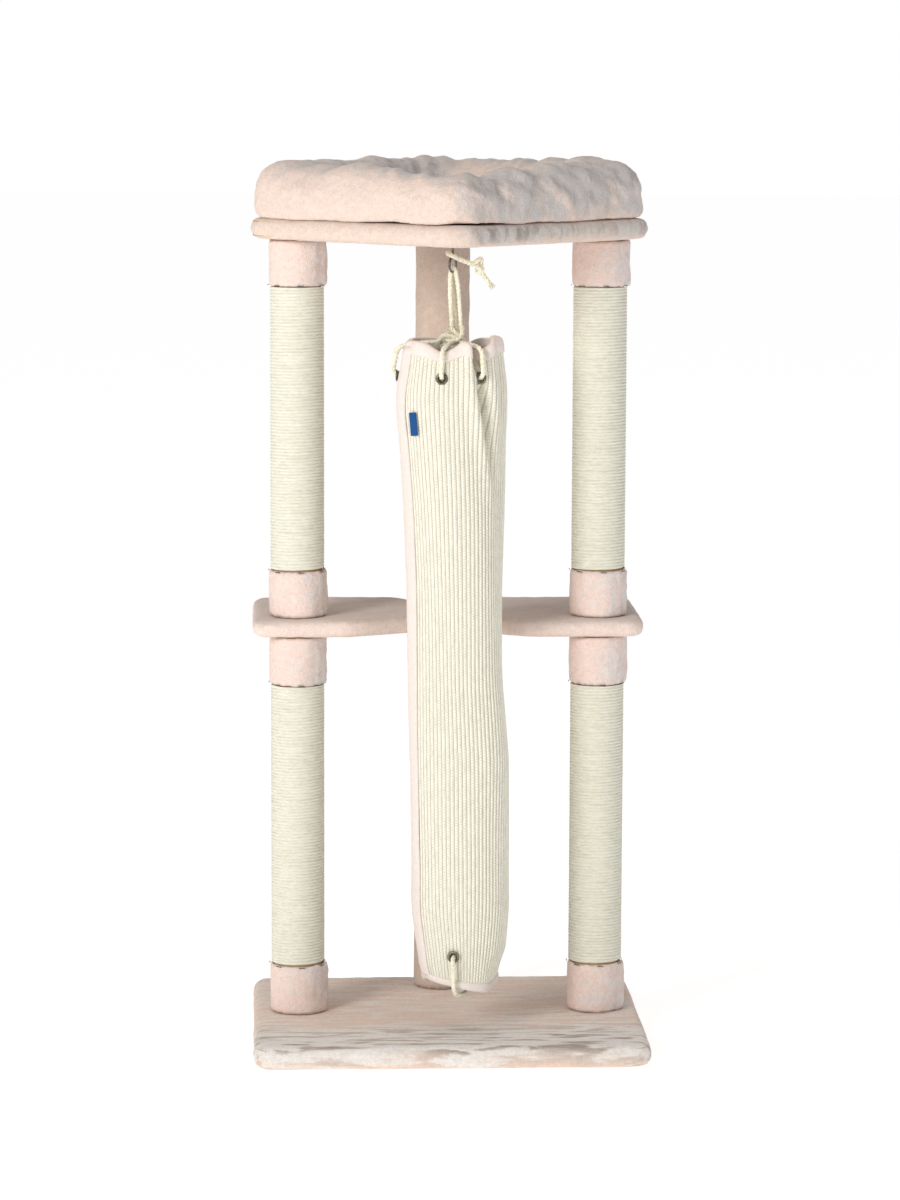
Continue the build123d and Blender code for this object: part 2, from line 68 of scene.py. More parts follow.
# Rope routes: points along the middle of each rope, in millimetres.
ROPE_ROUTES: dict[str, list[Triple]] = {
    "tie_off_rope": [
        (24.6, -114.5, 1001),
        (12.5, -115.5, 1005),
        (0, -113, 1011),
        (-7, -107, 1014),
        (-6, -98, 1015),
        (1.5, -96.5, 1014),
    ],
    "hanging_rope_loop": [
        (-1, -106, 919.5),
        (-6.4, -104, 996),
        (6.6, -104, 996),
        (10.5, -105, 919.5),
    ],
    "hanging_rope_middle": [
        (-3, -97.5, 987),
        (2, -97, 955),
        (4, -99.5, 919.5),
    ],
    "tunnel_rope_front": [
        (-1.2, -119.2, 904),
        (-5.5, -139.2, 903.5),
        (-15, -157, 899),
        (-15.7, -157.7, 883),
        (-17, -159.4, 862.5),
        (-14, -145.2, 862),
    ],
    "tunnel_rope_right": [
        (10, -117.3, 904),
        (20.5, -134.9, 903.5),
        (34, -150.4, 899),
        (35, -151, 883),
        (36.5, -152.5, 862.5),
        (29, -140.2, 862),
    ],
    "tunnel_rope_back": [
        (5.2, -88.8, 904),
        (9.5, -68.8, 903.5),
        (13.1, -51, 899),
        (13.4, -50.3, 883),
        (13.8, -48.6, 862.5),
        (10.8, -62.7, 862),
    ],
    "tunnel_rope_left": [
        (-13.4, -102.6, 904),
        (-34, -101, 903.5),
        (-68, -99.3, 899),
        (-71, -99.2, 883),
        (-75, -99, 862.5),
        (-60.6, -100.3, 862),
    ],
    "tunnel_bottom_rope": [
        (3.8, -140.3, 132),
        (0.3, -154.3, 131.5),
        (1.4, -152.2, 111),
        (2.3, -151, 83),
        (13, -126, 78),
        (21, -104, 76),
        (24, -82, 78),
        (25.9, -56.6, 83),
        (26.3, -55.4, 111),
        (26.9, -53.3, 131.5),
        (23.9, -67.5, 132),
    ],
}


# The standard curve from a screen colour to a linear one.
CURVE_KNEE = 0.04045
CURVE_SLOPE = 12.92
CURVE_OFFSET = 0.055
CURVE_POWER = 2.4


# ---- small helpers --------------------------------------------------------------------------------
def linear(red: float, green: float, blue: float) -> tuple[float, float, float, float]:
    """Turns an everyday 0 to 255 colour into the shader's linear one.

    Args:
        red: Red, 0 to 255.
        green: Green, 0 to 255.
        blue: Blue, 0 to 255.

    Returns:
        The linear colour with full alpha.
    """
    levels = []
    for share in (red / 255, green / 255, blue / 255):
        if share <= CURVE_KNEE:
            levels.append(share / CURVE_SLOPE)
        else:
            levels.append(((share + CURVE_OFFSET) / (1 + CURVE_OFFSET)) ** CURVE_POWER)
    return (*levels, 1.0)


def smooth_step(value: float, low: float, high: float) -> float:
    """Rises gently from 0 at low to 1 at high.

    Args:
        value: Where to read the curve.
        low: Where the rise starts.
        high: Where it ends; it may lie below low.

    Returns:
        A share from 0 to 1.
    """
    share = min(1.0, max(0.0, (value - low) / (high - low)))
    return share * share * (3 - 2 * share)


def bump(value: float, middle: float, width: float) -> float:
    """A rounded hill of height 1.

    Args:
        value: Where to read it.
        middle: Where its top is.
        width: How far from the top it has mostly faded.

    Returns:
        Its height there.
    """
    return math.exp(-(((value - middle) / width) ** 2))


def turn_between(angle: float, middle: float) -> float:
    """The signed turn in degrees from middle to angle, from -180 to 180."""
    return (angle - middle + 180) % 360 - 180


def mottled(place: Vector, size: float, seed: float = 0.0) -> float:
    """Soft noise from -1 to 1.

    Args:
        place: Where to read it, in metres.
        size: How large its lumps are, in metres.
        seed: Moves the pattern, so that two pieces differ.

    Returns:
        The noise there.
    """
    return noise.noise(place / size + Vector((seed, seed * 1.7, seed * 0.3)))


def millimetres(points: Sequence[Sequence[float]]) -> list[Vector]:
    """Points given in millimetres, as vectors in metres."""
    return [Vector(point) * MM for point in points]


# ---- shader nodes ---------------------------------------------------------------------------------
class Nodes:
    """Adds and links shader nodes in one node tree with short calls."""

    def __init__(self, tree: bpy.types.NodeTree) -> None:
        """Keeps the tree that nodes are added to.

        Args:
            tree: The material's or group's node tree.
        """
        self.tree = tree

    def put(self, socket: Socket, value: object) -> None:
        """Links a socket into an input, or sets the input's own value.

        Args:
            socket: The input.
            value: An output socket, or a plain value.
        """
        if isinstance(value, Socket):
            self.tree.links.new(value, socket)
        else:
            socket.default_value = value

    def add(
        self, kind: str, inputs: dict[object, object] | None = None, **settings: object
    ) -> bpy.types.Node:
        """Adds one node.

        Args:
            kind: The node's type name.
            inputs: Values or sockets for its inputs, by name or index.
            settings: The node's own properties.

        Returns:
            The new node.
        """
        node = self.tree.nodes.new(kind)
        for name, value in settings.items():
            setattr(node, name, value)
        for name, value in (inputs or {}).items():
            self.put(node.inputs[name], value)
        return node

    def math(self, operation: str, first: object, second: object = 0.0) -> Socket:
        """One sum or product of two values.

        Args:
            operation: The Math node's operation.
            first: The first value or socket.
            second: The second value or socket.

        Returns:
            The result's socket.
        """
        return self.add("ShaderNodeMath", {0: first, 1: second}, operation=operation).outputs[0]

    def noise(self, vector: object, scale: float, detail: float = 2.0, twist: float = 0.0) -> Socket:
        """Noise from 0 to 1.

        Args:
            vector: The coordinates' socket.
            scale: How many lumps to a metre.
            detail: How many finer layers it has.
            twist: How strongly it is distorted.

        Returns:
            The noise's socket.
        """
        values = {"Vector": vector, "Scale": scale, "Detail": detail, "Distortion": twist}
        return self.add("ShaderNodeTexNoise", values).outputs[0]

    def stretch(self, vector: object, shares: Triple) -> Socket:
        """Coordinates scaled differently along each axis.

        Args:
            vector: The coordinates' socket.
            shares: The scale along X, Y and Z.

        Returns:
            The scaled coordinates' socket.
        """
        return self.add("ShaderNodeMapping", {"Vector": vector, "Scale": shares}).outputs[0]

    def mix(self, share: object, first: object, second: object) -> Socket:
        """Mixes two colours.

        Args:
            share: How much of the second, 0 to 1.
            first: The first colour.
            second: The second colour.

        Returns:
            The mixed colour's socket.
        """
        values = {0: share, 6: first, 7: second}
        return self.add("ShaderNodeMix", values, data_type="RGBA").outputs[2]

    def between(self, value: object, low: float, high: float) -> Socket:
        """Stretches low to high over 0 to 1, softly.

        Args:
            value: The value's socket.
            low: What becomes 0.
            high: What becomes 1.

        Returns:
            The stretched value's socket.
        """
        values = {"Value": value, "From Min": low, "From Max": high}
        return self.add("ShaderNodeMapRange", values, interpolation_type="SMOOTHSTEP").outputs[0]


def make_group(
    name: str,
    takes: dict[str, tuple[str, object]],
    gives: dict[str, str],
    fill: Callable[[Nodes, Sockets], Sockets],
) -> bpy.types.NodeTree:
    """Builds a shader node group once, and hands out the same one afterwards.

    Args:
        name: The group's name.
        takes: Each input's socket type and starting value.
        gives: Each output's socket type.
        fill: Adds the nodes, given the inputs' sockets, and returns the outputs' sockets.

    Returns:
        The group.
    """
    if name in bpy.data.node_groups:
        return bpy.data.node_groups[name]
    tree = bpy.data.node_groups.new(name, "ShaderNodeTree")
    for label, (kind, start) in takes.items():
        socket = tree.interface.new_socket(name=label, in_out="INPUT", socket_type=kind)
        if start is not None:
            socket.default_value = start
    for label, kind in gives.items():
        tree.interface.new_socket(name=label, in_out="OUTPUT", socket_type=kind)
    nodes = Nodes(tree)
    entry = nodes.add("NodeGroupInput")
    leave = nodes.add("NodeGroupOutput")
    made = fill(nodes, {label: entry.outputs[label] for label in takes})
    for label, socket in made.items():
        nodes.put(leave.inputs[label], socket)
    return tree


VECTOR = "NodeSocketVector"
NUMBER = "NodeSocketFloat"
COLOUR = "NodeSocketColor"
GREY = (0.5, 0.5, 0.5, 1.0)
WEAVE_MAP = "weave"


def plush_nap_and_light_group() -> bpy.types.NodeTree:
    """Short pile that looks warm one way and silvery where it is brushed the other way, with painted shade on
    faces turned right and painted sheen on faces turned up.

    Returns:
        The group.
    """

    def fill(nodes: Nodes, given: Sockets) -> Sockets:
        """Adds the pile's patches, brush marks and speckle, the painted shade and sheen that follow which way
        a face turns, and painted shade in the marks' hollows and the gaps between tufts.

        Args:
            nodes: The group's nodes.
            given: The inputs' sockets, by name.

        Returns:
            The outputs' sockets, by name.
        """
        place = given["Place"]
        patches = nodes.noise(place, 9.0, 3.0, 0.6)
        marks = nodes.noise(given["Brush Place"], 42.0, 6.0, 0.5)
        speckle = nodes.noise(place, 520.0, 2.0)
        tufts = nodes.noise(place, 170.0, 3.0, 0.5)
        facing = nodes.add("ShaderNodeSeparateXYZ", {0: given["Facing"]})
        # painted shade on faces turned right and painted sheen on faces turned up
        right_shade = nodes.math("MULTIPLY", facing.outputs[0], given["Lean Right"])
        top_sheen_share = nodes.math("MULTIPLY", facing.outputs[2], given["Lean Up"])
        nap_and_light = nodes.math("ADD", nodes.math("ADD", right_shade, top_sheen_share), given["Brushed"])
        for pattern, amount in ((patches, given["Patches"]), (marks, given["Marks"])):
            swing = nodes.math("MULTIPLY", nodes.math("SUBTRACT", pattern, 0.5), amount)
            nap_and_light = nodes.math("ADD", nap_and_light, swing)
        share = nodes.between(nap_and_light, 0.0, 1.0)
        colour = nodes.mix(share, given["Warm"], given["Silver"])
        shaded = nodes.math("MULTIPLY", share, given["Shade"])
        # painted shade in the hollows of the brush marks, stronger where the pile is silvery
        hollow_shade = nodes.math("MULTIPLY", nodes.between(marks, 0.52, 0.34), shaded)
        colour = nodes.mix(hollow_shade, colour, given["Deep"])
        grain = nodes.math("ADD", nodes.math("MULTIPLY", speckle, 0.5), nodes.math("MULTIPLY", tufts, 0.5))
        # painted shade in the gaps between tufts of pile
        gaps = nodes.math("MULTIPLY", nodes.between(grain, 0.62, 0.36), 0.22)
        colour = nodes.mix(gaps, colour, given["Deep"])
        height = nodes.math("ADD", nodes.math("MULTIPLY", marks, 0.9), nodes.math("ADD", tufts, speckle))
        return {"Colour": colour, "Height": height}

    takes = {
        "Place": (VECTOR, None),
        "Brush Place": (VECTOR, None),
        "Facing": (VECTOR, None),
        "Warm": (COLOUR, GREY),
        "Silver": (COLOUR, GREY),
        "Deep": (COLOUR, GREY),
        "Brushed": (NUMBER, 0.3),
        "Lean Right": (NUMBER, 0.0),
        "Lean Up": (NUMBER, 0.0),
        "Patches": (NUMBER, 1.0),
        "Marks": (NUMBER, 1.0),
        "Shade": (NUMBER, 0.5),
    }
    return make_group("plush_nap_and_light", takes, {"Colour": COLOUR, "Height": NUMBER}, fill)


def fibre_group() -> bpy.types.NodeTree:
    """Plant or yarn fibres that run one way, with paler and darker strands.

    Returns:
        The group.
    """

    def fill(nodes: Nodes, given: Sockets) -> Sockets:
        """Adds fine and coarse strands.

        Args:
            nodes: The group's nodes.
            given: The inputs' sockets, by name.

        Returns:
            The outputs' sockets, by name.
        """
        fine = nodes.noise(given["Stretched Place"], 1.0, 3.0)
        coarse = nodes.noise(given["Stretched Place"], 0.31, 2.0, 0.4)
        both = nodes.math("ADD", nodes.math("MULTIPLY", fine, 0.6), nodes.math("MULTIPLY", coarse, 0.4))
        share = nodes.math("MULTIPLY", nodes.between(both, 0.58, 0.38), given["Contrast"])
        return {"Colour": nodes.mix(share, given["Pale"], given["Dark"]), "Height": both}

    takes = {
        "Stretched Place": (VECTOR, None),
        "Pale": (COLOUR, GREY),
        "Dark": (COLOUR, GREY),
        "Contrast": (NUMBER, 0.6),
    }
    return make_group("strand_fibres", takes, {"Colour": COLOUR, "Height": NUMBER}, fill)


def thread_weave_group() -> bpy.types.NodeTree:
    """Crossing threads on a flat map: one unit is one rib wide and one thread pair high.

    Returns:
        The group.
    """

    def fill(nodes: Nodes, given: Sockets) -> Sockets:
        """Adds the rib and the stitches that cross it, with painted shade in the rib valleys and the crossing
        threads' own darker dots at the rib crowns.

        Args:
            nodes: The group's nodes.
            given: The inputs' sockets, by name.

        Returns:
            The outputs' sockets, by name.
        """
        flat = nodes.add("ShaderNodeSeparateXYZ", {0: given["Flat Place"]})
        across = nodes.math("FRACT", flat.outputs[0])
        rib = nodes.math("SINE", nodes.math("MULTIPLY", across, math.pi))
        shift = nodes.math("MULTIPLY", nodes.math("FLOOR", flat.outputs[0]), 0.5)
        along = nodes.math("ADD", flat.outputs[1], shift)
        stitch = nodes.math("ABSOLUTE", nodes.math("SINE", nodes.math("MULTIPLY", along, math.pi)))
        # painted shade in the rib valleys
        valley = nodes.between(rib, given["Valley Width"], 0.05)
        crown = nodes.math("MULTIPLY", nodes.between(rib, 0.55, 0.95), 0.32)
        gaps = nodes.between(stitch, 0.75, 0.15)
        dots = nodes.math("MULTIPLY", nodes.math("MAXIMUM", valley, crown), gaps)
        height = nodes.math("ADD", nodes.math("MULTIPLY", rib, 0.7), nodes.math("MULTIPLY", stitch, 0.45))
        return {"Valley": valley, "Dots": dots, "Height": height}

    takes = {"Flat Place": (VECTOR, None), "Valley Width": (NUMBER, 0.5)}
    return make_group("thread_weave", takes, {"Valley": NUMBER, "Dots": NUMBER, "Height": NUMBER}, fill)


def handling_group() -> bpy.types.NodeTree:
    """Faint handling marks and dust on hard surfaces.

    Returns:
        The group.
    """

    def fill(nodes: Nodes, given: Sockets) -> Sockets:
        """Adds smudges and fine scratches.

        Args:
            nodes: The group's nodes.
            given: The inputs' sockets, by name.

        Returns:
            The outputs' sockets, by name.
        """
        smudge = nodes.noise(given["Place"], 60.0, 4.0, 0.8)
        scratch = nodes.noise(nodes.stretch(given["Place"], (30.0, 30.0, 900.0)), 1.0, 2.0)
        both = nodes.math("ADD", nodes.math("MULTIPLY", smudge, 0.6), nodes.math("MULTIPLY", scratch, 0.4))
        share = nodes.math("MULTIPLY", nodes.between(both, 0.42, 0.62), given["Amount"])
        rough = nodes.math("ADD", given["Roughness"], nodes.math("MULTIPLY", share, 0.3))
        return {"Mask": share, "Roughness": rough, "Height": both}

    takes = {"Place": (VECTOR, None), "Roughness": (NUMBER, 0.3), "Amount": (NUMBER, 0.5)}
    gives = {"Mask": NUMBER, "Roughness": NUMBER, "Height": NUMBER}
    return make_group("handling_marks", takes, gives, fill)


@dataclass(frozen=True)
class Finish:
    """What every finish shares: a name, and how its material is started and ended."""

    name: str

    def start(self) -> tuple[bpy.types.Material, Nodes, bpy.types.Node, bpy.types.Node]:
        """Makes an empty material.

        Returns:
            The material, its nodes, its shader and its texture coordinates.
        """
        material = bpy.data.materials.new(self.name)
        material.use_nodes = True
        nodes = Nodes(material.node_tree)
        shader = material.node_tree.nodes["Principled BSDF"]
        return material, nodes, shader, nodes.add("ShaderNodeTexCoord")

    def relief(
        self, nodes: Nodes, shader: bpy.types.Node, height: object, strength: float, depth: float
    ) -> None:
        """Adds bump from a height.

        Args:
            nodes: The material's nodes.
            shader: Its shader.
            height: The height's socket.
            strength: How strongly it shows.
            depth: How deep it is, in metres.
        """
        values = {"Height": height, "Strength": strength, "Distance": depth}
        nodes.put(shader.inputs["Normal"], nodes.add("ShaderNodeBump", values).outputs[0])

    def set_values(self, shader: bpy.types.Node, values: dict[str, object]) -> None:
        """Sets a shader's plain values.

        Args:
            shader: The shader.
            values: The values, by input name.
        """
        for name, value in values.items():
            shader.inputs[name].default_value = value

    def place_group(
        self, nodes: Nodes, tree: bpy.types.NodeTree, inputs: dict[str, object]
    ) -> bpy.types.Node:
        """Places a shared group in the material.

        Args:
            nodes: The material's nodes.
            tree: The group.
            inputs: Values or sockets for its inputs.

        Returns:
            The group's node.
        """
        return nodes.add("ShaderNodeGroup", inputs, node_tree=tree)


@dataclass(frozen=True)
class Plush(Finish):
    """Short soft pile."""

    warm: Triple = (238, 212, 196)
    silver: Triple = (206, 197, 194)
    # the colour of the painted shade in the pile's hollows and gaps
    deep: Triple = (160, 145, 140)
    brushed: float = 0.3
    # how much painted shade falls on faces turned right, and how much painted sheen on faces turned up
    right_side_shade: float = 0.0
    top_sheen: float = 0.0
    patches: float = 0.9
    marks: float = 1.0
    shade: float = 0.5
    pile: float = 0.0022
    brush: Triple = (1.0, 2.6, 1.6)
    # how much more silvery the pile is towards the front, and where in depth that starts and ends
    front_silvering: float = 0.0
    front_reach: tuple[float, float] = (-0.07, -0.15)

    def material(self) -> bpy.types.Material:
        """Builds the plush material."""
        material, nodes, shader, place = self.start()
        apart = nodes.add("ShaderNodeSeparateXYZ", {0: place.outputs["Object"]})
        towards_front = nodes.between(apart.outputs[1], *self.front_reach)
        front = nodes.math("MULTIPLY", towards_front, self.front_silvering)
        inputs = {
            "Place": place.outputs["Object"],
            "Brush Place": nodes.stretch(place.outputs["Object"], self.brush),
            "Facing": place.outputs["Normal"],
            "Warm": linear(*self.warm),
            "Silver": linear(*self.silver),
            "Deep": linear(*self.deep),
            "Brushed": nodes.math("ADD", front, self.brushed),
            "Lean Right": self.right_side_shade,
            "Lean Up": self.top_sheen,
            "Patches": self.patches,
            "Marks": self.marks,
            "Shade": self.shade,
        }
        nap_and_light = self.place_group(nodes, plush_nap_and_light_group(), inputs)
        nodes.put(shader.inputs["Base Color"], nap_and_light.outputs["Colour"])
        values = {
            "Roughness": 0.92,
            "Specular IOR Level": 0.15,
            "Sheen Weight": 0.35,
            "Sheen Roughness": 0.45,
            "Sheen Tint": linear(255, 240, 232),
        }
        self.set_values(shader, values)
        self.relief(nodes, shader, nap_and_light.outputs["Height"], 0.55, self.pile)
        return material


@dataclass(frozen=True)
class Fibres(Finish):
    """Sisal, rope yarn or cardboard: strands that run one way."""

    pale: Triple = (240, 236, 212)
    dark: Triple = (186, 180, 148)
    stretch: Triple = (60.0, 60.0, 1400.0)
    contrast: float = 0.6
    depth: float = 0.0006
    roughness: float = 0.85
    sheen: float = 0.15

    def material(self) -> bpy.types.Material:
        """Builds the fibre material."""
        material, nodes, shader, place = self.start()
        inputs = {
            "Stretched Place": nodes.stretch(place.outputs["Object"], self.stretch),
            "Pale": linear(*self.pale),
            "Dark": linear(*self.dark),
            "Contrast": self.contrast,
        }
        strands = self.place_group(nodes, fibre_group(), inputs)
        nodes.put(shader.inputs["Base Color"], strands.outputs["Colour"])
        values = {"Roughness": self.roughness, "Specular IOR Level": 0.3, "Sheen Weight": self.sheen}
        self.set_values(shader, values)
        self.relief(nodes, shader, strands.outputs["Height"], 0.6, self.depth)
        return material


@dataclass(frozen=True)
class Woven(Finish):
    """Threads that cross on the piece's own flat map."""

    pale: Triple = (243, 239, 224)
    dark: Triple = (160, 150, 122)
    valley_width: float = 0.62
    valley_shade_share: float = 0.6
    depth: float = 0.0009
    map_name: str = WEAVE_MAP

    def material(self) -> bpy.types.Material:
        """Builds the woven material."""
        material, nodes, shader, place = self.start()
        flat = nodes.add("ShaderNodeUVMap", uv_map=self.map_name).outputs[0]
        inputs = {"Flat Place": flat, "Valley Width": self.valley_width}
        weave = self.place_group(nodes, thread_weave_group(), inputs)
        yarn = {
            "Stretched Place": nodes.stretch(place.outputs["Object"], (900.0, 900.0, 160.0)),
            "Pale": linear(*self.pale),
            "Dark": linear(*[0.86 * value for value in self.pale]),
            "Contrast": 0.5,
        }
        strands = self.place_group(nodes, fibre_group(), yarn)
        # painted shade in the rib valleys, mixed with the threads' own darker dots
        valley = nodes.math("MULTIPLY", weave.outputs["Valley"], self.valley_shade_share)
        dots = nodes.math("MAXIMUM", valley, nodes.math("MULTIPLY", weave.outputs["Dots"], 0.85))
        colour = nodes.mix(dots, strands.outputs["Colour"], linear(*self.dark))
        nodes.put(shader.inputs["Base Color"], colour)
        values = {"Roughness": 0.88, "Specular IOR Level": 0.2, "Sheen Weight": 0.1}
        self.set_values(shader, values)
        fuzz = nodes.math("MULTIPLY", strands.outputs["Height"], 0.3)
        height = nodes.math("ADD", weave.outputs["Height"], fuzz)
        self.relief(nodes, shader, height, 0.7, self.depth)
        return material


@dataclass(frozen=True)
class Metal(Finish):
    """Plated or blackened steel."""

    colour: Triple = (190, 192, 194)
    worn: Triple = (220, 220, 218)
    roughness: float = 0.28

    def material(self) -> bpy.types.Material:
        """Builds the metal material."""
        material, nodes, shader, place = self.start()
        inputs = {"Place": place.outputs["Object"], "Roughness": self.roughness, "Amount": 0.7}
        marks = self.place_group(nodes, handling_group(), inputs)
        colour = nodes.mix(marks.outputs["Mask"], linear(*self.colour), linear(*self.worn))
        nodes.put(shader.inputs["Base Color"], colour)
        nodes.put(shader.inputs["Roughness"], marks.outputs["Roughness"])
        shader.inputs["Metallic"].default_value = 1.0
        self.relief(nodes, shader, marks.outputs["Height"], 0.12, 0.0002)
        return material


@dataclass(frozen=True)
class Timber(Finish):
    """Turned softwood or pressed chips."""

    pale: Triple = (222, 196, 152)
    dark: Triple = (168, 130, 86)
    stretch: Triple = (40.0, 40.0, 6.0)

    def material(self) -> bpy.types.Material:
        """Builds the wood material."""
        material, nodes, shader, place = self.start()
        grain = nodes.noise(nodes.stretch(place.outputs["Object"], self.stretch), 4.0, 6.0, 1.2)
        inputs = {"Place": place.outputs["Object"], "Roughness": 0.6, "Amount": 0.4}
        marks = self.place_group(nodes, handling_group(), inputs)
        colour = nodes.mix(nodes.between(grain, 0.35, 0.7), linear(*self.pale), linear(*self.dark))
        nodes.put(shader.inputs["Base Color"], colour)
        nodes.put(shader.inputs["Roughness"], marks.outputs["Roughness"])
        self.relief(nodes, shader, grain, 0.3, 0.0005)
        return material


FINISHES: dict[str, Finish] = {
    "base_plush": Plush(
        "base_plush",
        (230, 205, 189),
        (233, 228, 222),
        (150, 132, 120),
        brushed=0.08,
        top_sheen=0.3,
        patches=0.8,
        marks=2.1,
        shade=1.2,
        brush=(0.35, 2.2, 1.6),
        front_silvering=0.6,
    ),
    "shelf_plush": Plush(
        "shelf_plush",
        (238, 217, 206),
        (204, 190, 182),
        (166, 150, 140),
        brushed=0.1,
        right_side_shade=0.1,
        top_sheen=0.6,
        marks=1.3,
    ),
    "top_plush": Plush(
        "top_plush",
        (230, 208, 194),
        (208, 201, 195),
        (144, 136, 132),
        brushed=0.1,
        right_side_shade=0.9,
        top_sheen=0.25,
        marks=1.8,
        shade=0.95,
        brush=(1.6, 1.6, 0.7),
    ),
    "bolster_plush": Plush(
        "bolster_plush",
        (232, 210, 197),
        (206, 199, 195),
        (150, 142, 138),
        brushed=0.06,
        right_side_shade=0.95,
        top_sheen=0.72,
        marks=2.1,
        shade=0.55,
        brush=(1.5, 1.5, 0.45),
    ),
    "post_plush": Plush(
        "post_plush", (214, 194, 179), (192, 178, 168), (150, 130, 124), brushed=0.4, right_side_shade=0.35
    ),
    "collar_plush": Plush(
        "collar_plush",
        (238, 215, 204),
        (226, 218, 215),
        (170, 152, 146),
        brushed=0.26,
        right_side_shade=0.45,
        marks=2.2,
        shade=0.8,
    ),
    "binding_suede": Plush(
        "binding_suede", (235, 223, 215), (228, 219, 212), (204, 188, 178), marks=0.5, shade=0.3, pile=0.0008
    ),
    "sisal": Fibres("sisal", (229, 227, 212), (192, 188, 164), (150.0, 150.0, 1500.0), 0.45),
    "rope_yarn": Fibres("rope_yarn", (248, 244, 224), (200, 190, 156), (900.0, 900.0, 260.0), 0.6, 0.0005),
    "cardboard": Fibres(
        "cardboard",
        (196, 164, 124),
        (150, 118, 84),
        (30.0, 30.0, 220.0),
        depth=0.0002,
        roughness=0.9,
        sheen=0.0,
    ),
    "woven_mat": Woven("woven_mat"),
    "blue_label": Woven("blue_label", (30, 86, 148), (14, 44, 92), 0.6, 0.35, 0.0003),
    "zinc_steel": Metal("zinc_steel"),
    "dark_steel": Metal("dark_steel", (92, 94, 92), (150, 150, 146), 0.3),
    "eyelet_bronze": Metal("eyelet_bronze", (96, 92, 78), (160, 152, 130), 0.26),
    "particle_board": Timber("particle_board", (206, 178, 134), (150, 118, 78), (160.0, 160.0, 160.0)),
    "turned_wood": Timber("turned_wood"),
}
_materials: dict[str, bpy.types.Material] = {}


def finish(name: str) -> bpy.types.Material:
    """The material of a finish, built the first time that it is asked for.

    Args:
        name: The finish's name.

    Returns:
        Its material.
    """
    if name not in _materials:
        _materials[name] = FINISHES[name].material()
    return _materials[name]


# ---- mesh tools -----------------------------------------------------------------------------------
def linked(name: str, data: bpy.types.ID) -> Piece:
    """Puts data in a new object of the scene.

    Args:
        name: The object's name.
        data: Its mesh, curve, light or camera.

    Returns:
        The object.
    """
    obj = bpy.data.objects.new(name, data)
    bpy.context.scene.collection.objects.link(obj)
    return obj


def to_object(bm: Mesh, name: str) -> Piece:
    """Ends a mesh in an object that sits at the origin.

    Args:
        bm: The finished mesh; it is freed.
        name: The object's name.

    Returns:
        The object.
    """
    mesh = bpy.data.meshes.new(name)
    bm.to_mesh(mesh)
    bm.free()
    mesh.shade_smooth()
    return linked(name, mesh)


def dress(obj: Piece, look: str, body: str, slot: str, *nodes: str) -> Piece:
    """Gives a piece its finish and its place in the frame.

    Args:
        obj: The piece.
        look: The finish's name.
        body: The body that it rides on.
        slot: Not used.
        nodes: The CAD nodes that it stands for.

    Returns:
        The piece.
    """
    obj.data.materials.clear()
    obj.data.materials.append(finish(look))
    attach(obj, body)
    if nodes:
        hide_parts(*nodes)
    LOG.info("%s: %d faces on %s", obj.name, len(obj.data.polygons), body)
    return obj


def applied(obj: Piece) -> Piece:
    """Applies an object's modifiers to its mesh.

    Args:
        obj: The object.

    Returns:
        The same object, with no modifiers.
    """
    bpy.context.view_layer.update()
    seen = obj.evaluated_get(bpy.context.evaluated_depsgraph_get())
    mesh = bpy.data.meshes.new_from_object(seen)
    mesh.name = obj.name
    obj.modifiers.clear()
    obj.data = mesh
    mesh.shade_smooth()
    return obj


def voxel_skin(obj: Piece, size: float) -> Piece:
    """Covers a closed shape with an even net of small faces.

    Args:
        obj: The closed shape.
        size: The faces' size, in metres.

    Returns:
        The same object.
    """
    skin = obj.modifiers.new("even_net", "REMESH")
    skin.mode = "VOXEL"
    skin.voxel_size = size
    return applied(obj)


def sculpt(obj: Piece, move: Callable[[Vector, Vector], Vector], smooth: int = 0) -> Piece:
    """Smooths a mesh, then moves each of its points.

    Args:
        obj: The mesh object.
        move: Gives a point's step from its place and its outward direction.
        smooth: How many smoothing passes come first.

    Returns:
        The same object.
    """
    bm = bmesh.new()
    bm.from_mesh(obj.data)
    for _ in range(smooth):
        bmesh.ops.smooth_vert(
            bm, verts=bm.verts, factor=0.5, use_axis_x=True, use_axis_y=True, use_axis_z=True
        )
    bm.normal_update()
    steps = [move(vert.co, vert.normal) for vert in bm.verts]
    for vert, step in zip(bm.verts, steps):
        vert.co += step
    bm.normal_update()
    bm.to_mesh(obj.data)
    bm.free()
    obj.data.shade_smooth()
    return obj


def section_loops(node: str, height: float) -> list[list[Vector]]:
    """Cuts a CAD node level, and reads the outlines of the cut.

    Args:
        node: The CAD node.
        height: Where it is cut, in metres.

    Returns:
        Each closed outline's points in order, the longest outline first.
    """
    bm = bmesh.new()
    bm.from_mesh(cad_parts[node].data)
    bmesh.ops.remove_doubles(bm, verts=bm.verts, dist=SAME_CAD_PLACE)
    everything = bm.verts[:] + bm.edges[:] + bm.faces[:]
    halves = bmesh.ops.bisect_plane(bm, geom=everything, plane_co=(0, 0, height), plane_no=(0, 0, 1))
    verts = [item for item in halves["geom_cut"] if isinstance(item, bmesh.types.BMVert)]
    bmesh.ops.remove_doubles(bm, verts=verts, dist=SAME_SEAM_PLACE)
    edges = set()
    for edge in bm.edges:
        if all(abs(vert.co.z - height) < SAME_PLACE for vert in edge.verts):
            edges.add(edge)
    loops = []
    while edges:
        edge = edges.pop()
        first, current = edge.verts
        loop = [first.co.copy(), current.co.copy()]
        while True:
            onward = [option for option in current.link_edges if option in edges]
            if not onward:
                break
            edges.discard(onward[0])
            current = onward[0].other_vert(current)
            loop.append(current.co.copy())
        if len(loop) > 3:
            loops.append(loop)
    bm.free()
    return sorted(loops, key=outline_length, reverse=True)


def outline_length(loop: Sequence[Vector]) -> float:
    """The length round a closed outline."""
    return sum((after - before).length for before, after in zip(loop, list(loop[1:]) + [loop[0]]))


